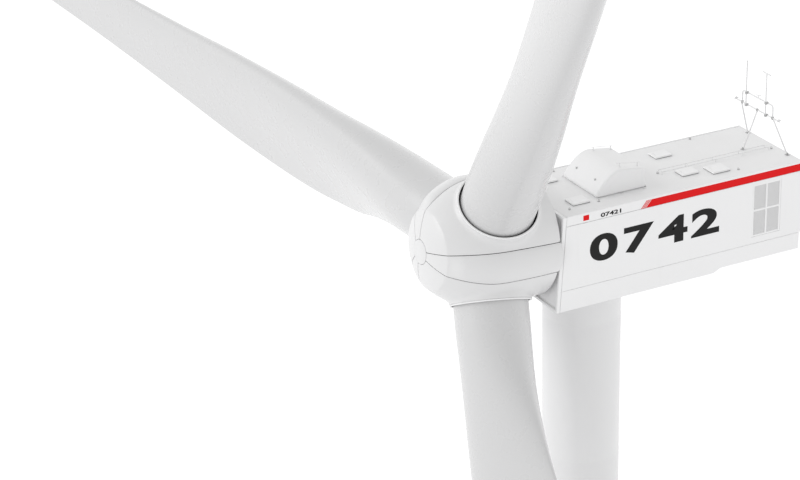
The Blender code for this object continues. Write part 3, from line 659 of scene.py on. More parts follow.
def buildFairingGuard(label, setup):
    # two posts on the fairing and a wire through their heads that runs past them at both ends
    low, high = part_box("fairing_rail_" + label)
    x = (low.x + high.x) / 2
    pieces = []
    heads = []
    for y in (low.y + setup["postR"], high.y - setup["postR"]):
        z = fairingLow.z + fairingTop(y, fairingSetup)
        pieces.append(addPost("post", (x, y, z), setup["postH"], setup["postR"], 16, setup["postEdge"]))
        pieces.append(addPost("post", (x, y, z - setup["sink"]), setup["footH"], setup["footR"], 20,
                              setup["footEdge"]))
        heads.append(Vector((x, y, z + setup["wireZ"])))
    span = heads[1] - heads[0]
    pieces.append(addRod("wire", heads[0] - span * setup["ahead"], heads[1] + span * setup["behind"],
                         setup["wireR"], 12, setup["wireEdge"]))
    finishPiece(joinPieces("fairing_guard_" + label, pieces), mastGray, "nacelle",
                ["fairing_rail_" + label])


buildFairing(fairingSetup)
buildFairingTabs(tabSetup)
for label in sides:
    buildFairingGuard(label, guardSetup)
print("fairing ready")


# ---- roof hatches, anchor eyes and twin rail ----
hatchSetup = {"count": 5, "gasketAndShade": 0.0020, "gasketIn": 0.0012, "gasketEdge": 0.0004, "clear": 0.0001,
              "lidEdge": 0.0018, "pressIn": 0.008, "pressW": 0.0014, "pressD": 0.0006,
              "hingeAt": (0.24, 0.76), "hingeR": 0.0022, "hingeL": 0.013, "hingeOut": 0.00154,
              "hingeRise": 0.001, "hingeEdge": 0.0003, "handleIn": 0.010, "handleHalf": 0.008,
              "handleRise": 0.0028, "handleSink": 0.0002, "handleR": 0.00066}


def buildHatch(index, setup):
    node = f"roof_hatch_{index}"
    low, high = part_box(node)
    inset = setup["gasketIn"]
    seat = low.z + setup["gasketAndShade"]
    # a dark band under the lid: partly a gasket, partly painted shade in the gap under the lid's overhang
    gasketAndShade = addBox(node + "_gasket", (low.x + inset, low.y + inset, low.z),
                    (high.x - inset, high.y - inset, seat), setup["gasketEdge"])
    finishPiece(gasketAndShade, gasketAndShadeGray, "nacelle")
    lid = addBox(node + "_lid", (low.x, low.y, seat + setup["clear"]), high, setup["lidEdge"], 4)
    editAll(lid)
    bpy.ops.mesh.select_all(action="DESELECT")
    leaveEdit()
    max(lid.data.polygons, key=lambda face: face.center.z).select = True
    bpy.ops.object.mode_set(mode="EDIT")      # a shallow pressed panel in the lid's top
    bpy.ops.mesh.inset(thickness=setup["pressIn"], depth=0)
    bpy.ops.mesh.inset(thickness=setup["pressW"], depth=-setup["pressD"])
    leaveEdit()
    finishPiece(lid, shellWhite, "nacelle", [node], weighted=True)
    fittings = []
    half = setup["hingeL"] / 2
    z = seat + setup["hingeRise"]
    y = high.y + setup["hingeOut"]
    for share in setup["hingeAt"]:
        x = low.x + (high.x - low.x) * share
        fittings.append(addRod("hinge", (x - half, y, z), (x + half, y, z), setup["hingeR"], 14,
                               setup["hingeEdge"]))
    y = low.y + setup["handleIn"]
    z = high.z - setup["handleSink"]
    left, right = ((low.x + high.x) / 2 + shift for shift in (-setup["handleHalf"], setup["handleHalf"]))
    rise = setup["handleRise"]
    fittings.append(addTube("handle", [(left, y, z), (left, y, z + rise), (right, y, z + rise),
                                       (right, y, z)], setup["handleR"], 2))
    finishPiece(joinPieces(node + "_fittings", fittings), mastGray, "nacelle")


eyeSetup = {"baseR": 0.0052, "baseH": 0.0012, "baseEdge": 0.0004, "ringR": 0.0036, "ringT": 0.0009,
            "ringZ": 0.00408, "lift": 0.0001, "sink": 0.0008, "fairingXs": (-0.070, 0.068),
            "fairingIn": 0.030, "slopeStep": 0.002, "roofPlaces": (
                (-0.203, 0.640), (0.165, 0.626), (-0.194, -0.017), (0.162, -0.158), (0.153, -0.020),
                (0.119, 0.214), (0.034, 0.328), (0.051, 0.866), (-0.162, -0.158), (-0.180, 0.300))}


def eyeParts(place, axis, turn, setup):
    # a screwed base disc with a standing ring
    base = addPost("eye", (0, 0, 0), setup["baseH"], setup["baseR"], 20, setup["baseEdge"])
    deselectAll()
    bpy.ops.mesh.primitive_torus_add(major_radius=setup["ringR"], minor_radius=setup["ringT"],
                                     major_segments=24, minor_segments=10,
                                     location=(0, 0, setup["ringZ"]), rotation=(math.pi / 2, 0, 0))
    parts = [base, takeMade("eye")]
    for part in parts:
        part.data.transform(axisMatrix(place, axis, turn))
    return parts


def buildEyes(setup):
    pieces = []
    for x, y in setup["roofPlaces"]:
        pieces += eyeParts((x, y, roofZ + setup["lift"]), (0, 0, 1), (1, 0.3, 0), setup)
    y = fairingLow.y + setup["fairingIn"]
    step = setup["slopeStep"]
    rise = fairingTop(y + step, fairingSetup) - fairingTop(y - step, fairingSetup)
    z = fairingLow.z + fairingTop(y, fairingSetup) - setup["sink"]
    for x in setup["fairingXs"]:
        pieces += eyeParts((x, y, z), (0, -rise, 2 * step), (1, 0, 0), setup)
    finishPiece(joinPieces("roof_anchor_eyes", pieces), fittingGray, "nacelle")


railSetup = {"railR": 0.0012, "railIn": 0.0016, "railEdge": 0.0004, "tieR": 0.00096, "ties": 5,
             "tieIn": 0.004, "footR": 0.0026, "footH": 0.0010, "footEdge": 0.0003}


def buildRoofRail(setup):
    low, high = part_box("roof_rail")
    z = high.z - setup["railR"]
    xs = (low.x + setup["railIn"], high.x - setup["railIn"])
    pieces = [addRod("rail", (x, low.y, z), (x, high.y, z), setup["railR"], 16, setup["railEdge"])
              for x in xs]
    for y in np.linspace(low.y + setup["tieIn"], high.y - setup["tieIn"], setup["ties"]):
        pieces.append(addRod("tie", (xs[0], y, z), (xs[1], y, z), setup["tieR"], 12))
        for x in xs:
            pieces.append(addPost("foot", (x, y, roofZ), z - roofZ, setup["tieR"], 12))
            pieces.append(addPost("foot", (x, y, roofZ), setup["footH"], setup["footR"], 14,
                                  setup["footEdge"]))
    finishPiece(joinPieces("roof_rail_pair", pieces), mastGray, "nacelle", ["roof_rail"])


for index in range(1, hatchSetup["count"] + 1):
    buildHatch(index, hatchSetup)
buildEyes(eyeSetup)
buildRoofRail(railSetup)
print("roof ready")


# ---- sensor mast ----
barLow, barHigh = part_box("mast_lower_bar")
hoopLow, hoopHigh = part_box("mast_upper_bar")
mastR = (barHigh.z - barLow.z) / 2
mastY = (barLow.y + barHigh.y) / 2
barZ = (barLow.z + barHigh.z) / 2
hoopX = hoopHigh.x - mastR
hoopZ = hoopHigh.z - mastR
mastBarSetup = {"bend": 0.012, "bendSteps": 6, "edge": 0.0006}


def buildMastBars(setup):
    bar = addRod("mast_bar_low", (barLow.x, mastY, barZ), (barHigh.x, mastY, barZ), mastR, 24,
                 setup["edge"])
    finishPiece(bar, mastGray, "nacelle", ["mast_lower_bar"])
    bend = setup["bend"]
    points = [(hoopX, mastY, hoopLow.z)]
    for i in range(setup["bendSteps"] + 1):    # a quarter bend at each upper corner
        angle = math.pi / 2 * i / setup["bendSteps"]
        points.append((hoopX - bend * (1 - math.cos(angle)), mastY, hoopZ - bend * (1 - math.sin(angle))))
    points += [(-x, y, z) for x, y, z in reversed(points)]
    finishPiece(addTube("mast_hoop", points, mastR, 4), mastGray, "nacelle",
                ["mast_upper_bar"], 50)


mastLegSetup = {"footIn": 0.008, "footLift": 0.001, "headOut": 0.005, "headDrop": 1.1,
                "plate": (0.009, 0.007), "plateZ": (0.0002, 0.002), "plateEdge": 0.0005,
                "socketR": 0.0044, "socketH": 0.007, "socketEdge": 0.0006, "boltOut": 0.0065,
                "boltR": 0.0018, "boltH": 0.0016}


def buildMastLegs(setup):
    # two legs and a brace, each on a bolted foot plate with a socket
    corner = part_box("mast_leg_right")[1]
    footIn = setup["footIn"]
    legs = {"mast_leg_" + label: (side * (corner.x - footIn), corner.y - footIn,
                                  side * (hoopX + setup["headOut"])) for label, side in sides.items()}
    legs["mast_brace"] = (0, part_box("mast_brace")[0].y + footIn, 0)
    plateX, plateY = setup["plate"]
    plateLow, plateHigh = (roofZ + z for z in setup["plateZ"])
    headZ = barZ - mastR * setup["headDrop"]
    fittings = []
    for node, (x, y, headX) in legs.items():
        leg = addRod(node + "_tube", (x, y, roofZ + setup["footLift"]), (headX, mastY, headZ), mastR)
        finishPiece(leg, mastGray, "nacelle", [node])
        fittings.append(addBox("foot", (x - plateX, y - plateY, plateLow),
                               (x + plateX, y + plateY, plateHigh), setup["plateEdge"]))
        fittings.append(addPost("foot", (x, y, plateHigh), setup["socketH"], setup["socketR"], 20,
                                setup["socketEdge"]))
        for shift in (-setup["boltOut"], setup["boltOut"]):
            fittings.append(addPost("foot", (x + shift, y, plateHigh), setup["boltH"], setup["boltR"], 6))
    finishPiece(joinPieces("mast_feet", fittings), fittingGray, "nacelle")


mastRodSetup = {"edge": 0.0005, "topIn": 0.0015, "crossIn": 0.0028, "crossR": 0.0027, "tipL": 0.012,
                "tipShare": 0.7, "clamp": 0.0048, "clampY": 0.0042, "rodClampY": 0.0040,
                "sideClamp": 1.3, "clampEdge": 0.0008}


def addClamp(x, ys, z, half, height, edge):
    return addBox("clamp", (x - half, ys[0], z - height), (x + half, ys[1], z + height), edge)


def buildMastRods(setup):
    # the rods with their heads, and the clamps that hold rods, legs and brace to the bars
    half, edge = setup["clamp"], setup["clampEdge"]
    clamps = []
    for label in ("left", "right"):
        low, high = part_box("mast_rod_" + label)
        x, y = (low.x + high.x) / 2, (low.y + high.y) / 2
        radius = (high.y - low.y) / 2
        pieces = [addRod("rod", (x, y, low.z), (x, y, high.z - setup["topIn"]), radius, 20, setup["edge"])]
        if label == "right":
            z = high.z - setup["crossIn"]
            pieces.append(addRod("rod", (low.x, y, z), (high.x, y, z), setup["crossR"], 18, setup["edge"]))
        else:
            pieces.append(addPost("rod", (x, y, high.z - setup["tipL"]), setup["tipL"],
                                  radius * setup["tipShare"], 18, setup["edge"]))
        finishPiece(joinPieces("mast_" + label + "_rod_tube", pieces), mastGray, "nacelle",
                    ["mast_rod_" + label])
        for z in (barZ, hoopZ):
            clamps.append(addClamp(x, (y - setup["rodClampY"], mastY + setup["rodClampY"]), z, half, half,
                                   edge))
    ys = (mastY - setup["clampY"], mastY + setup["clampY"])
    for side in sides.values():
        clamps.append(addClamp(side * hoopX, ys, barZ, half, half * setup["sideClamp"], edge))
    clamps.append(addClamp(0, ys, barZ, half, half, edge))
    finishPiece(joinPieces("mast_clamps", clamps), fittingGray, "nacelle")


sensorSetup = {"endIn": 0.006, "bodyLow": -0.002, "bodyHigh": 0.0055, "bodyR": 0.0040, "capTop": 0.0090,
               "capR": (0.0050, 0.0034), "edge": 0.0008, "armHalf": 0.010, "armZ": 0.003, "armR": 0.0022,
               "armEdge": 0.0005, "stalkX": 0.004, "stalkR": 0.0016, "vaneZ": 0.012, "vaneR": 0.0018,
               "vaneEdge": 0.0004, "vaneEnds": ((-0.006, -0.004), (0.016, 0.006))}


def buildMastSensors(setup):
    # a capped sensor with a short arm at each end of the lower bar, and a vane on the hoop
    sensors = []
    for side in sides.values():
        x = side * (barHigh.x - setup["endIn"])
        bodyZ, capZ, armZ = barZ + setup["bodyLow"], barZ + setup["bodyHigh"], barZ + setup["armZ"]
        sensors.append(addRod("sensor", (x, mastY, bodyZ), (x, mastY, capZ), setup["bodyR"], 20,
                              setup["edge"]))
        sensors.append(addRod("sensor", (x, mastY, capZ), (x, mastY, barZ + setup["capTop"]),
                              setup["capR"][0], 20, setup["edge"], setup["capR"][1]))
        sensors.append(addRod("sensor", (x, mastY - setup["armHalf"], armZ),
                              (x, mastY + setup["armHalf"], armZ), setup["armR"], 16, setup["armEdge"]))
    x, z = setup["stalkX"], hoopZ + setup["vaneZ"]
    sensors.append(addRod("sensor", (x, mastY, hoopZ + mastR * 0.8), (x, mastY, z), setup["stalkR"], 14))
    tail, nose = ((x, mastY + y, z) for x, y in setup["vaneEnds"])
    sensors.append(addRod("sensor", tail, nose, setup["vaneR"], 14, setup["vaneEdge"]))
    finishPiece(joinPieces("mast_sensors", sensors), mastGray, "nacelle")


buildMastBars(mastBarSetup)
buildMastLegs(mastLegSetup)
buildMastRods(mastRodSetup)
buildMastSensors(sensorSetup)
print("mast ready")


# ---- spinner ----
spinnerSetup = {
    "discR": 0.0492, "noseL": 0.2874, "domeR": 0.360, "domeL": -0.070, "edgeL": 0.2535,
    "bellyL": 0.040, "bellyR": 0.2530, "rearL": -0.1960, "rearR": 0.2413, "rearMost": 1.3,
    "swell": 2.0, "collarIn": 0.1545, "collarOut": 0.1620, "collarTop": 0.2440, "collarH": 0.0065,
    "neckTop": 0.30, "blend": 0.016, "seatBlend": 0.006, "gap": 0.0012, "wall": 0.0016,
    "search": (0.05, 0.50)}
spinnerSetup["edgeR"] = math.sqrt(spinnerSetup["domeR"] ** 2
                                  - (spinnerSetup["edgeL"] - spinnerSetup["domeL"]) ** 2)
far = 9.0        # stands for no limit in the distances below


def rotorFrame(points):
    # distance ahead of the hub, and the two coordinates square to the rotor axis
    return points @ np.array(rotorAxis), points @ np.array(rotorSide), points @ np.array(rotorUp)


def lastInside(low, high, isInside, halvings=24):
    # the largest value that still passes the test, for a whole row at once
    for _ in range(halvings):
        middle = (low + high) / 2
        inside = isInside(middle)
        low = np.where(inside, middle, low)
        high = np.where(inside, high, middle)
    return low


def smoothSmaller(a, b, width):
    # the smaller of two distances, with the corner between them filled
    mix = np.maximum(width - np.abs(a - b), 0) / width
    return np.minimum(a, b) - mix * mix * width / 4


def turnedRadius(ahead, setup):
    # the turned body: a dome, a swelling side and a tapering rear
    dome = np.sqrt(np.maximum(setup["domeR"] ** 2 - (ahead - setup["domeL"]) ** 2, 0))
    t = np.clip((ahead - setup["bellyL"]) / (setup["edgeL"] - setup["bellyL"]), 0, 1)
    side = setup["edgeR"] + (setup["bellyR"] - setup["edgeR"]) * (1 - t ** setup["swell"])
    s = np.clip((setup["bellyL"] - ahead) / (setup["bellyL"] - setup["rearL"]), 0, setup["rearMost"])
    rear = setup["bellyR"] - (setup["bellyR"] - setup["rearR"]) * s ** 2
    return np.where(ahead >= setup["edgeL"], dome, np.where(ahead >= setup["bellyL"], side, rear))


def skinDistance(points, setup):
    # below zero inside: the turned body, blended with a neck round each blade
    ahead, across, up = rotorFrame(points)
    body = np.hypot(across, up) - turnedRadius(ahead, setup)
    fromDome = np.linalg.norm(points - np.array(rotorAxis) * setup["domeL"], axis=1) - setup["domeR"]
    value = np.where(ahead > setup["edgeL"], fromDome, np.maximum(body, fromDome))
    for axis in bladeAxes:
        along = points @ np.array(axis)
        off = np.sqrt(np.maximum((points ** 2).sum(1) - along ** 2, 0))
        neck = np.maximum(off - setup["collarOut"], along - setup["neckTop"])
        value = smoothSmaller(value, np.where(along > 0, neck, far), setup["blend"])
        seat = np.minimum(along - setup["collarTop"] + setup["collarH"],
                          setup["collarOut"] + setup["blend"] - off)
        value = -smoothSmaller(-value, -seat, setup["seatBlend"])     # level round the lip
    return value


def skinRadius(directions, setup):
    low, high = (np.full(len(directions), limit) for limit in setup["search"])
    return lastInside(low, high, lambda radius: skinDistance(directions * radius[:, None], setup) < 0)


def skinPoints(directions, setup):
    return directions * skinRadius(directions, setup)[:, None]


panelSetup = {"columns": 264, "fineRows": 28, "coarseRows": 63, "fineShare": 0.24, "finePower": 1.2,
              "startIn": 0.02, "widest": 2.4, "sector": 0.5, "pocket": 0.200}
stripSetup = {"columns": 28, "rows": 130, "foot": 0.0045, "grow": 0.243, "least": 0.001, "rise": 0.0150,
              "crown": 0.75, "fade": 0.06, "passes": 6, "firstRadius": 0.2, "widest": 2.6,
              "seamShadeReach": 0.0060, "seamShadeDrop": 0.0004}


def stripHalf(radial):
    # half a strip's width, which grows away from the rotor axis
    return stripSetup["foot"] + stripSetup["grow"] * radial


def stripOffset(points):
    # distance across the nearest strip
    across, up = rotorFrame(points)[1:]
    best = np.full(len(points), far)
    for angle in stripAngles:
        along = up * math.cos(angle) - across * math.sin(angle)
        sideways = across * math.cos(angle) + up * math.sin(angle)
        off = np.where(along > 0, np.abs(sideways), far)
        best = np.minimum(best, off)
    return best


stripAngles = []
for first, second in ((0, 1), (1, 2), (2, 0)):
    between = bladeAxes[first] + bladeAxes[second]
    stripAngles.append(math.atan2(-between.dot(rotorSide), between.dot(rotorUp)))


def spinnerPanel(index, setup, panel):
    # the panel round one blade: rows run out from the blade's opening to the panel's edge
    axis = bladeAxes[index]
    first = np.array(axis)
    second = np.array(rotorAxis - axis * rotorAxis.dot(axis))
    second /= np.linalg.norm(second)
    third = np.cross(first, second)
    sector = math.atan2(-axis.dot(rotorSide), axis.dot(rotorUp))
    count = panel["columns"] + 1
    azimuth = np.linspace(0, 2 * math.pi, count)
    around = np.outer(np.cos(azimuth), second) + np.outer(np.sin(azimuth), third)
    top = setup["collarTop"] - setup["collarH"]
    start = math.atan2(setup["collarOut"], top)

    def directions(angle):
        return np.cos(angle)[:, None] * first + np.sin(angle)[:, None] * around

    def onPanel(angle):
        points = skinPoints(directions(angle), setup)
        ahead, across, up = rotorFrame(points)
        radial = np.hypot(across, up)
        inside = (stripOffset(points) > stripHalf(radial) + setup["gap"]) & (ahead > setup["rearL"])
        inside &= (ahead < 0) | (radial > setup["discR"] + setup["gap"])
        turned = np.arctan2(-across, up) - sector
        return inside & (np.cos(turned) > panel["sector"])     # not past the strips on either side

    def behindDome(angle):
        return rotorFrame(skinPoints(directions(angle), setup))[0] < setup["edgeL"]

    last = lastInside(np.full(count, start + panel["startIn"]), np.full(count, panel["widest"]), onPanel)
    crease = lastInside(np.full(count, start), last, behindDome)
    share = np.concatenate([np.linspace(0, panel["fineShare"], panel["fineRows"]) ** panel["finePower"],
                            np.linspace(panel["fineShare"], 1, panel["coarseRows"])[1:]])
    angles = start + np.outer(share[1:], last - start)
    for column in range(count):        # the nearest row is moved onto the dome's edge to keep it crisp
        row = np.abs(angles[:, column] - crease[column]).argmin()
        if 0 < row < len(angles) - 1:
            angles[row, column] = crease[column]
    rings = [height * first + around * radius for height, radius in (
        (panel["pocket"], setup["collarIn"]), (top, setup["collarIn"]), (top, setup["collarOut"]))]
    rings += [skinPoints(directions(angle), setup) for angle in angles]
    table = np.array(rings) + np.array(hub)
    piece = wrapGrid(f"spinner_panel_{index + 1}", count - 1, len(rings) - 1, lambda u, v: table[v, u])
    applyModifier(piece, "SOLIDIFY", thickness=setup["wall"], offset=-1)
    return piece


def spinnerStrip(index, setup, strip, liner=False):
    # the raised strip between two panels, from the nose disc to the rear rim, or the near-black sheet under
    # it that paints shade into the seams on either side of the strip
    angle = stripAngles[index]
    columns, rows = strip["columns"], strip["rows"]
    axis = np.array(rotorAxis)
    outward = np.array(rotorUp) * math.cos(angle) - np.array(rotorSide) * math.sin(angle)
    sideways = np.cross(axis, outward)
    across = np.sin(np.linspace(-1, 1, columns + 1) * math.pi / 2)
    nosePolar = math.atan2(setup["discR"] + setup["gap"], setup["noseL"])

    def rowAt(polar):
        # points across the strip at one polar angle from the nose
        radius = np.full(columns + 1, strip["firstRadius"])
        for _ in range(strip["passes"]):
            radial = radius * math.sin(polar)
            half = np.maximum(stripHalf(radial) - setup["gap"], strip["least"])
            if liner:
                half = half + strip["seamShadeReach"]
            side = across * half
            straight = np.sqrt(np.maximum(radial ** 2 - side ** 2, 1e-9))
            turned = (straight[:, None] * outward + side[:, None] * sideways) / radial[:, None]
            way = math.cos(polar) * axis + math.sin(polar) * turned
            way /= np.linalg.norm(way, axis=1)[:, None]
            radius = skinRadius(way, setup)
        return way * radius[:, None]

    rim = lastInside(nosePolar, strip["widest"],
                     lambda polar: rotorFrame(rowAt(polar))[0].min() > setup["rearL"])
    polars = np.linspace(nosePolar, float(rim), rows + 1)
    creasePolar = math.atan2(setup["edgeR"], setup["edgeL"])
    polars[np.abs(polars - creasePolar).argmin()] = creasePolar
    table = np.zeros((rows + 1, columns + 1, 3))
    for row, polar in enumerate(polars):
        points = rowAt(polar)
        fade = np.clip((setup["edgeL"] - rotorFrame(points)[0]) / strip["fade"], 0, 1)
        fade = fade * fade * (3 - 2 * fade)
        rise = strip["rise"] * fade * np.clip(1 - across ** 2, 0, 1) ** strip["crown"]
        if liner:
            rise = np.full(columns + 1, -setup["wall"] - strip["seamShadeDrop"])
        normal = points / np.linalg.norm(points, axis=1)[:, None]
        table[row] = points + normal * rise[:, None] + np.array(hub)
    name = f"spinner_{'liner' if liner else 'strip'}_{index + 1}"
    piece = wrapGrid(name, columns, rows, lambda u, v: table[v, u])
    applyModifier(piece, "SOLIDIFY", thickness=setup["wall"] / (3 if liner else 1), offset=-1)
    return piece


lipSetup = {"over": 0.0006, "lift": 0.0002, "edge": 0.0026, "pocketShade": (0.1478, 0.1542, 0.218, 0.224, 0.0010),
            "pocketWallShade": (0.1530, 0.1543, 0.224, 0.2415, 0.0003)}     # radii, heights and rounding


def buildBladeLip(index, setup, lip):
    # the lip round a blade's opening, and near-black rings on the floor and wall of the pocket inside it:
    # painted shade
    axis = bladeAxes[index]
    collar = addRing(f"blade_lip_{index + 1}", hub, axis, setup["collarIn"],
                     setup["collarOut"] + lip["over"], setup["collarTop"] - setup["collarH"] + lip["lift"],
                     setup["collarTop"], lip["edge"])
    # painted highlight: the lip takes the nacelle's lighter white, not the darker spinner white, so it
    # reads as a bright ring
    finishPiece(collar, shellWhite, "rotor", [f"blade_collar_{index + 1}"])
    # near-black rings on the pocket's floor and wall: painted shade in the gap inside the lip
    rings = [addRing("pocketShade", hub, axis, *lip[part]) for part in ("pocketShade", "pocketWallShade")]
    finishPiece(joinPieces(f"blade_pocket_shade_{index + 1}", rings), paintedShadeBlack, "rotor")


discSetup = {"depth": 0.006, "lift": 0.0002, "play": 0.0004, "edge": 0.0008, "noseShade": (0.0120, 0.0065),
             "noseShadeOver": 0.006, "rearIn": 0.110, "rearPlay": 0.0040, "rearDepth": (0.002, 0.006)}


def buildSpinnerEnds(setup, disc):
    # the nose disc with a near-black disc behind it that paints shade into the gap round it, and the plate
    # that closes the rear
    def onAxis(distance):
        return hub + rotorAxis * distance

    nose = setup["noseL"]
    cap = addRod("nose_cap", onAxis(nose - disc["depth"]), onAxis(nose + disc["lift"]),
                 setup["discR"] - disc["play"], 96, disc["edge"])
    finishPiece(cap, spinnerWhite, "rotor", ["nose_disc"])
    # a near-black disc behind the nose cap: painted shade in the gap round the cap
    start, end = (onAxis(nose - drop) for drop in disc["noseShade"])
    noseShade = addRod("spinner_nose_shade", start, end, setup["discR"] + disc["noseShadeOver"], 64)
    finishPiece(noseShade, paintedShadeBlack, "rotor")
    start, end = (setup["rearL"] + depth for depth in disc["rearDepth"])
    plate = addRing("spinner_rear_plate", hub, rotorAxis, disc["rearIn"],
                    setup["rearR"] - disc["rearPlay"], start, end, disc["edge"])
    finishPiece(plate, spinnerWhite, "rotor", ["spinner_back_plate"])


smoothSkin = 19        # degrees: the dome's edge and the lips stay crisp
for index in range(3):
    finishPiece(spinnerPanel(index, spinnerSetup, panelSetup), spinnerWhite, "rotor",
                ["spinner_shell"] if index == 0 else (), smoothSkin)
    finishPiece(spinnerStrip(index, spinnerSetup, stripSetup), spinnerWhite, "rotor", (),
                smoothSkin)
    # a near-black sheet under each strip: painted shade in its seams
    finishPiece(spinnerStrip(index, spinnerSetup, stripSetup, True), paintedShadeBlack, "rotor")
    buildBladeLip(index, spinnerSetup, lipSetup)
buildSpinnerEnds(spinnerSetup, discSetup)
print("spinner ready")


# ---- blades ----
bladeSetup = {"around": 96, "rows": 150, "spacing": (0.25, 0.75, 1.7), "tipRows": 12, "tipTrim": 0.0006,
              "stations": (
    # from the hub, chord, share ahead of the pitch axis, thickness share, twist, bend upwind
    (0.195, 0.294, 0.500, 1.00, 0.0, 0.000),
    (0.330, 0.294, 0.500, 1.00, 0.0, 0.000),
    (0.480, 0.310, 0.482, 0.92, 6.0, 0.000),
    (0.640, 0.352, 0.443, 0.75, 11.0, 0.001),
    (0.820, 0.404, 0.403, 0.58, 13.5, 0.002),
    (1.020, 0.458, 0.362, 0.44, 14.5, 0.003),
    (1.330, 0.478, 0.347, 0.35, 12.5, 0.005),
    (1.800, 0.440, 0.348, 0.285, 8.5, 0.010),
    (2.400, 0.352, 0.341, 0.26, 5.0, 0.019),
    (3.100, 0.277, 0.345, 0.24, 3.0, 0.033),
    (3.900, 0.217, 0.340, 0.22, 1.5, 0.054),
    (4.700, 0.166, 0.335, 0.20, 0.5, 0.079),
    (5.500, 0.119, 0.330, 0.18, -0.3, 0.110),
    (6.100, 0.082, 0.330, 0.18, -0.8, 0.136),
    (6.400, 0.048, 0.360, 0.18, -1.0, 0.150),
    (6.500, 0.018, 0.450, 0.20, -1.0, 0.155))}
sectionSetup = {"upper": 0.85, "camber": 0.10, "tailGap": 0.004, "wingShare": 0.30, "roundPower": 1.2}
receptorSetup = {"x": 0.004, "y": (0.1435, 0.1525), "z": 6.36, "radius": 0.005, "edge": 0.0006}


def smoothColumn(where, xs, ys):
    # a smooth curve through the stations that doesn't overshoot between equal ones
    steps = np.diff(ys) / np.diff(xs)
    slopes = np.zeros(len(xs))
    for i in range(1, len(xs) - 1):
        if steps[i - 1] * steps[i] > 0:
            slopes[i] = 2 * steps[i - 1] * steps[i] / (steps[i - 1] + steps[i])
    slopes[-1] = steps[-1]
    i = np.clip(np.searchsorted(xs, where, side="right") - 1, 0, len(xs) - 2)
    h = xs[i + 1] - xs[i]
    t = (where - xs[i]) / h
    return ((1 + 2 * t) * (1 - t) ** 2 * ys[i] + t * (1 - t) ** 2 * h * slopes[i]
            + t * t * (3 - 2 * t) * ys[i + 1] + t * t * (t - 1) * h * slopes[i + 1])


def sectionShape(turn, share, setup):
    # round at the root, an aerofoil further out; x runs from the nose to the tail
    along = 0.5 - 0.5 * np.cos(turn)
    wing = 5 * (0.2969 * np.sqrt(along) - 0.1260 * along - 0.3516 * along ** 2
                + 0.2843 * along ** 3 - 0.1015 * along ** 4)
    upper = turn <= math.pi
    half = wing * share * np.where(upper, setup["upper"], 1.0)
    wingY = (np.where(upper, half, -half) - setup["camber"] * along * (1 - along)
             + np.where(upper, setup["tailGap"], 0))
    mix = np.clip((share - setup["wingShare"]) / (1 - setup["wingShare"]), 0, 1) ** setup["roundPower"]
    return along - 0.5, 0.5 * np.sin(turn) * mix * share + wingY * (1 - mix)


def buildBlade(index, setup, receptor):
    axis = bladeAxes[index]
    flat = axis - rotorAxis * axis.dot(rotorAxis)
    tail = flat.cross(rotorAxis).normalized()
    matrix = axisMatrix(hub, axis, tail)
    if (matrix.to_3x3() @ Vector((0, 1, 0))).dot(rotorAxis) < 0:
        matrix = axisMatrix(hub, axis, -tail)
    stations = np.array(setup["stations"])
    stations[-1, 0] -= setup["tipTrim"]
    around, rows, tipRows = setup["around"], setup["rows"], setup["tipRows"]
    even, eased, power = setup["spacing"]
    share = np.linspace(0, 1, rows - 1)
    root, tip = stations[0, 0], stations[-1, 0]
    where = root + (tip - root) * (even * share + eased * share ** power)
    where[-tipRows:] = np.linspace(where[-tipRows], tip, tipRows)
    columns = [smoothColumn(where, stations[:, 0], stations[:, k]) for k in range(1, 6)]
    turn = 2 * math.pi * (np.arange(around + 1) % around + 0.5) / around
    table = np.zeros((rows + 1, around + 1, 3))
    for row in range(rows - 1):
        chord, ahead, thick, twist, bend = (column[row] for column in columns)
        x, y = sectionShape(turn, thick, sectionSetup)
        px, py = (x + 0.5 - ahead) * chord, y * chord
        angle = math.radians(-twist)
        table[row + 1, :, 0] = px * math.cos(angle) - py * math.sin(angle)
        table[row + 1, :, 1] = px * math.sin(angle) + py * math.cos(angle) + bend
        table[row + 1, :, 2] = where[row]
    table[0] = table[1].mean(0)
    table[-1] = table[-2].mean(0)
    name = f"blade_{index + 1}"
    blade = wrapGrid(f"blade_skin_{index + 1}", around, rows, lambda u, v: table[v, u], 1e-5)
    blade.data.transform(matrix)
    finishPiece(blade, bladeShadedWhite, name, [name], 50)
    start, end = (Vector((receptor["x"], y, receptor["z"])) for y in receptor["y"])
    stud = addRod(f"blade_receptor_{index + 1}", start, end, receptor["radius"], 24, receptor["edge"])
    stud.data.transform(matrix)
    finishPiece(stud, galvanised, name)


for index in range(3):
    buildBlade(index, bladeSetup, receptorSetup)
print("blades ready")


# ---- stripe and numbers on both sides ----
markSetup = {
    "lift": 0.0004, "stripeZ": (0.360, 0.391), "stripeY": (0.152, 0.178), "stripeIn": 0.001,
    "slashes": 3, "slashW": 0.0044, "slashStep": 0.0077, "badge": (-0.134, -0.108, 0.368, 0.390),
    "smallText": "07421", "smallY": (-0.055, 0.038), "smallZ": (0.3655, 0.3835), "smallBold": 0.030,
    "bigText": "0742", "bigY": ((-0.103, 0.024), (0.052, 0.190), (0.213, 0.349), (0.367, 0.500)),
    "bigZ": (0.180, 0.295), "bigBold": 0.035}


def sideMatrix(side, lift):
    # local x along the side as it reads, local y up, local z outwards
    x = Vector((0, side, 0))
    matrix = Matrix((x, Vector((0, 0, 1)), Vector((side, 0, 0)))).transposed().to_4x4()
    matrix.translation = (side * (sideX + lift / 2), 0, skirtZ)
    return matrix


def addQuad(name, corners, side, setup):
    points = [(side * y, z) for y, z in corners]
    if side < 0:
        points.reverse()
    piece = addOutline(name, points, setup["lift"], sideMatrix(side, setup["lift"]))
    return finishPiece(piece, stripeRed, "nacelle")


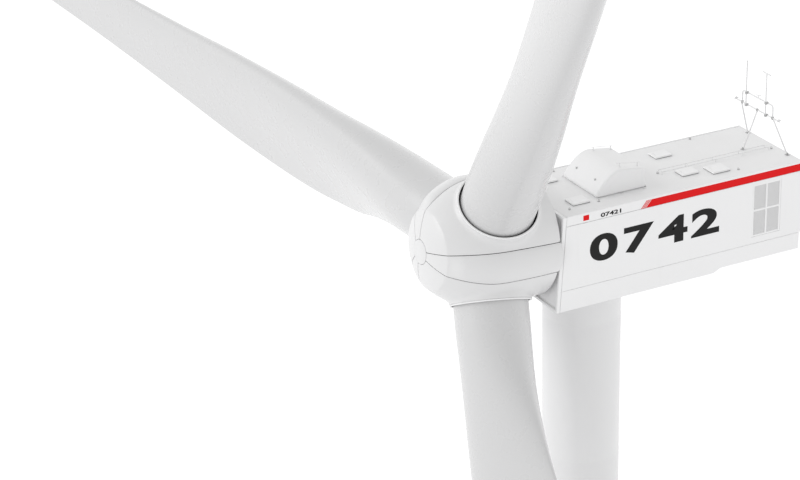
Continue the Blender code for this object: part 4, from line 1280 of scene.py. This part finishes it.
def addDigits(name, text, ys, zs, side, bold, setup):
    # figures drawn to fill a box on the side
    deselectAll()
    bpy.ops.object.text_add()
    obj = bpy.context.active_object
    obj.name = name
    obj.data.body = text
    obj.data.offset = bold
    obj.data.extrude = 0.01
    obj.data.resolution_u = 8
    bpy.ops.object.convert(target="MESH")
    corners = np.array([vert.co for vert in obj.data.vertices])
    low, high = corners.min(0), corners.max(0)
    wanted = (ys[1] - ys[0], zs[1] - zs[0], setup["lift"])
    size = Matrix.Diagonal((*(a / b for a, b in zip(wanted, high - low)), 1))
    obj.data.transform(size @ Matrix.Translation(-Vector((low + high) / 2)))
    middle = Matrix.Translation((side * sum(ys) / 2, sum(zs) / 2, 0))
    obj.data.transform(sideMatrix(side, setup["lift"]) @ middle)
    weldPoints(obj)
    return finishPiece(obj, markBlack, "nacelle", (), 30)


def buildMarks(label, setup):
    side = sides[label]
    z0, z1 = setup["stripeZ"]
    y0, y1 = setup["stripeY"]
    rear = rearY - setup["stripeIn"]
    addQuad("stripe_" + label, [(y0, z0), (rear, z0), (rear, z1), (y1, z1)], side, setup)
    for i in range(setup["slashes"]):
        right = setup["slashW"] - setup["slashStep"] * (i + 1)
        left = right - setup["slashW"]
        addQuad(f"slash_{label}_{i + 1}", [(y0 + left, z0), (y0 + right, z0), (y1 + right, z1),
                                           (y1 + left, z1)], side, setup)
    a, b, c, d = setup["badge"]
    addQuad("badge_" + label, [(a, c), (b, c), (b, d), (a, d)], side, setup)
    addDigits("small_number_" + label, setup["smallText"], setup["smallY"], setup["smallZ"], side,
              setup["smallBold"], setup)
    spans = setup["bigY"] if side > 0 else setup["bigY"][::-1]
    for i, (digit, ys) in enumerate(zip(setup["bigText"], spans)):
        addDigits(f"big_number_{label}_{i + 1}", digit, ys, setup["bigZ"], side, setup["bigBold"], setup)


for label in sides:
    buildMarks(label, markSetup)
print("marks ready")


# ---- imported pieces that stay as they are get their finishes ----
keptFinishes = {"tower_lower_flange": flangeGray, "tower_upper_flange": flangeGray,
                "yaw_ring": castGray, "main_frame": castGray, "bearing_housing": castGray,
                "hub_core": castGray, "floor_panel": shellWhite, "front_wall": shellWhite}
for node, material in keptFinishes.items():
    mesh = frame["nodes"][node].data
    mesh.materials.clear()
    mesh.materials.append(material)


# ---- camera, floor and light ----
cameraSetup = {"azimuth": 62.70, "elevation": 24.32, "roll": -1.31, "lens": 117.0, "sensor": 36,
               "clipEnd": 300, "place": (8.0305, -4.9590, 6.4407)}


def addCamera(setup):
    a, e, r = (math.radians(setup[key]) for key in ("azimuth", "elevation", "roll"))
    back = Vector((math.sin(a) * math.cos(e), -math.cos(a) * math.cos(e), math.sin(e)))
    right = Vector((math.cos(a), math.sin(a), 0))
    up = back.cross(right)
    turned = Matrix((right * math.cos(r) + up * math.sin(r),
                     up * math.cos(r) - right * math.sin(r), back)).transposed().to_4x4()
    turned.translation = setup["place"]
    data = bpy.data.cameras.new("mainCamera")
    data.lens = setup["lens"]
    data.sensor_width = setup["sensor"]
    data.clip_end = setup["clipEnd"]
    camera = bpy.data.objects.new("mainCamera", data)
    camera.matrix_world = turned
    bpy.context.scene.collection.objects.link(camera)
    bpy.context.scene.camera = camera


floorSetup = {"gap": 0.30, "reach": 1.16, "size": 260.0, "tone": 0.06, "seen": 1.1, "glow": 0.94}


def addFloor(setup):
    # a pale sweep below the lowest blade tip, with room for the blades to turn
    reach = max(abs(cadBounds[0][0]), abs(cadBounds[1][0]), cadBounds[1][2] - hub.z) * setup["reach"]
    deselectAll()
    bpy.ops.mesh.primitive_plane_add(size=setup["size"], location=(0, 0, hub.z - reach - setup["gap"]))
    floor = takeMade("studio_floor")
    material = bpy.data.materials.new("studioFloor")
    material.use_nodes = True
    tree = material.node_tree
    shader = tree.nodes["Principled BSDF"]
    shader.inputs["Base Color"].default_value = (*[setup["tone"]] * 3, 1)
    shader.inputs["Roughness"].default_value = 0.9
    shader.inputs["Specular IOR Level"].default_value = 0.0
    shader.inputs["Emission Strength"].default_value = 1.0
    path = tree.nodes.new("ShaderNodeLightPath")       # it looks lighter than the light it sends up
    glow = addMix(tree, path.outputs["Is Camera Ray"], gray(setup["glow"]), gray(setup["seen"]))
    tree.links.new(glow, shader.inputs["Emission Color"])
    floor.data.materials.append(material)


skySetup = {"far": 1.12, "near": 0.84, "turnFrom": -0.15, "zenith": 0.66, "zenithFrom": 0.2}
keySetup = {"energy": 0.7, "size": 40, "turn": (60, 0, -24)}


def addRange(tree, value, start, low, high):
    # low up to the start, then rising or falling to high at 1
    node = tree.nodes.new("ShaderNodeMapRange")
    tree.links.new(value, node.inputs["Value"])
    node.inputs["From Min"].default_value = start
    node.inputs["To Min"].default_value = low
    node.inputs["To Max"].default_value = high
    return node.outputs["Result"]


def addSky(setup):
    # a soft wall of light, dimmer behind the camera and overhead
    world = bpy.data.worlds.new("studioSky")
    bpy.context.scene.world = world
    world.use_nodes = True
    sky = world.node_tree
    background = sky.nodes["Background"]
    coords = sky.nodes.new("ShaderNodeTexCoord").outputs["Generated"]
    facing = sky.nodes.new("ShaderNodeVectorMath")
    facing.operation = "DOT_PRODUCT"
    toCamera = bpy.context.scene.camera.matrix_world.translation - hub
    facing.inputs[1].default_value = toCamera.normalized()
    sky.links.new(coords, facing.inputs[0])
    height = sky.nodes.new("ShaderNodeSeparateXYZ")
    sky.links.new(coords, height.inputs[0])
    share = addRange(sky, facing.outputs["Value"], setup["turnFrom"], setup["far"], setup["near"])
    overhead = addRange(sky, height.outputs["Z"], setup["zenithFrom"], 1.0, setup["zenith"])
    background.inputs["Color"].default_value = (1, 1, 1, 1)
    sky.links.new(addMath(sky, "MULTIPLY", share, overhead), background.inputs["Strength"])


def addKeyLight(setup):
    light = bpy.data.lights.new("keyLight", "SUN")
    light.energy = setup["energy"]
    light.angle = math.radians(setup["size"])
    lamp = bpy.data.objects.new("keyLight", light)
    lamp.rotation_euler = [math.radians(value) for value in setup["turn"]]
    bpy.context.scene.collection.objects.link(lamp)


addCamera(cameraSetup)
addFloor(floorSetup)
addSky(skySetup)
addKeyLight(keySetup)
bpy.context.scene.view_settings.view_transform = "Standard"
print("studio ready")
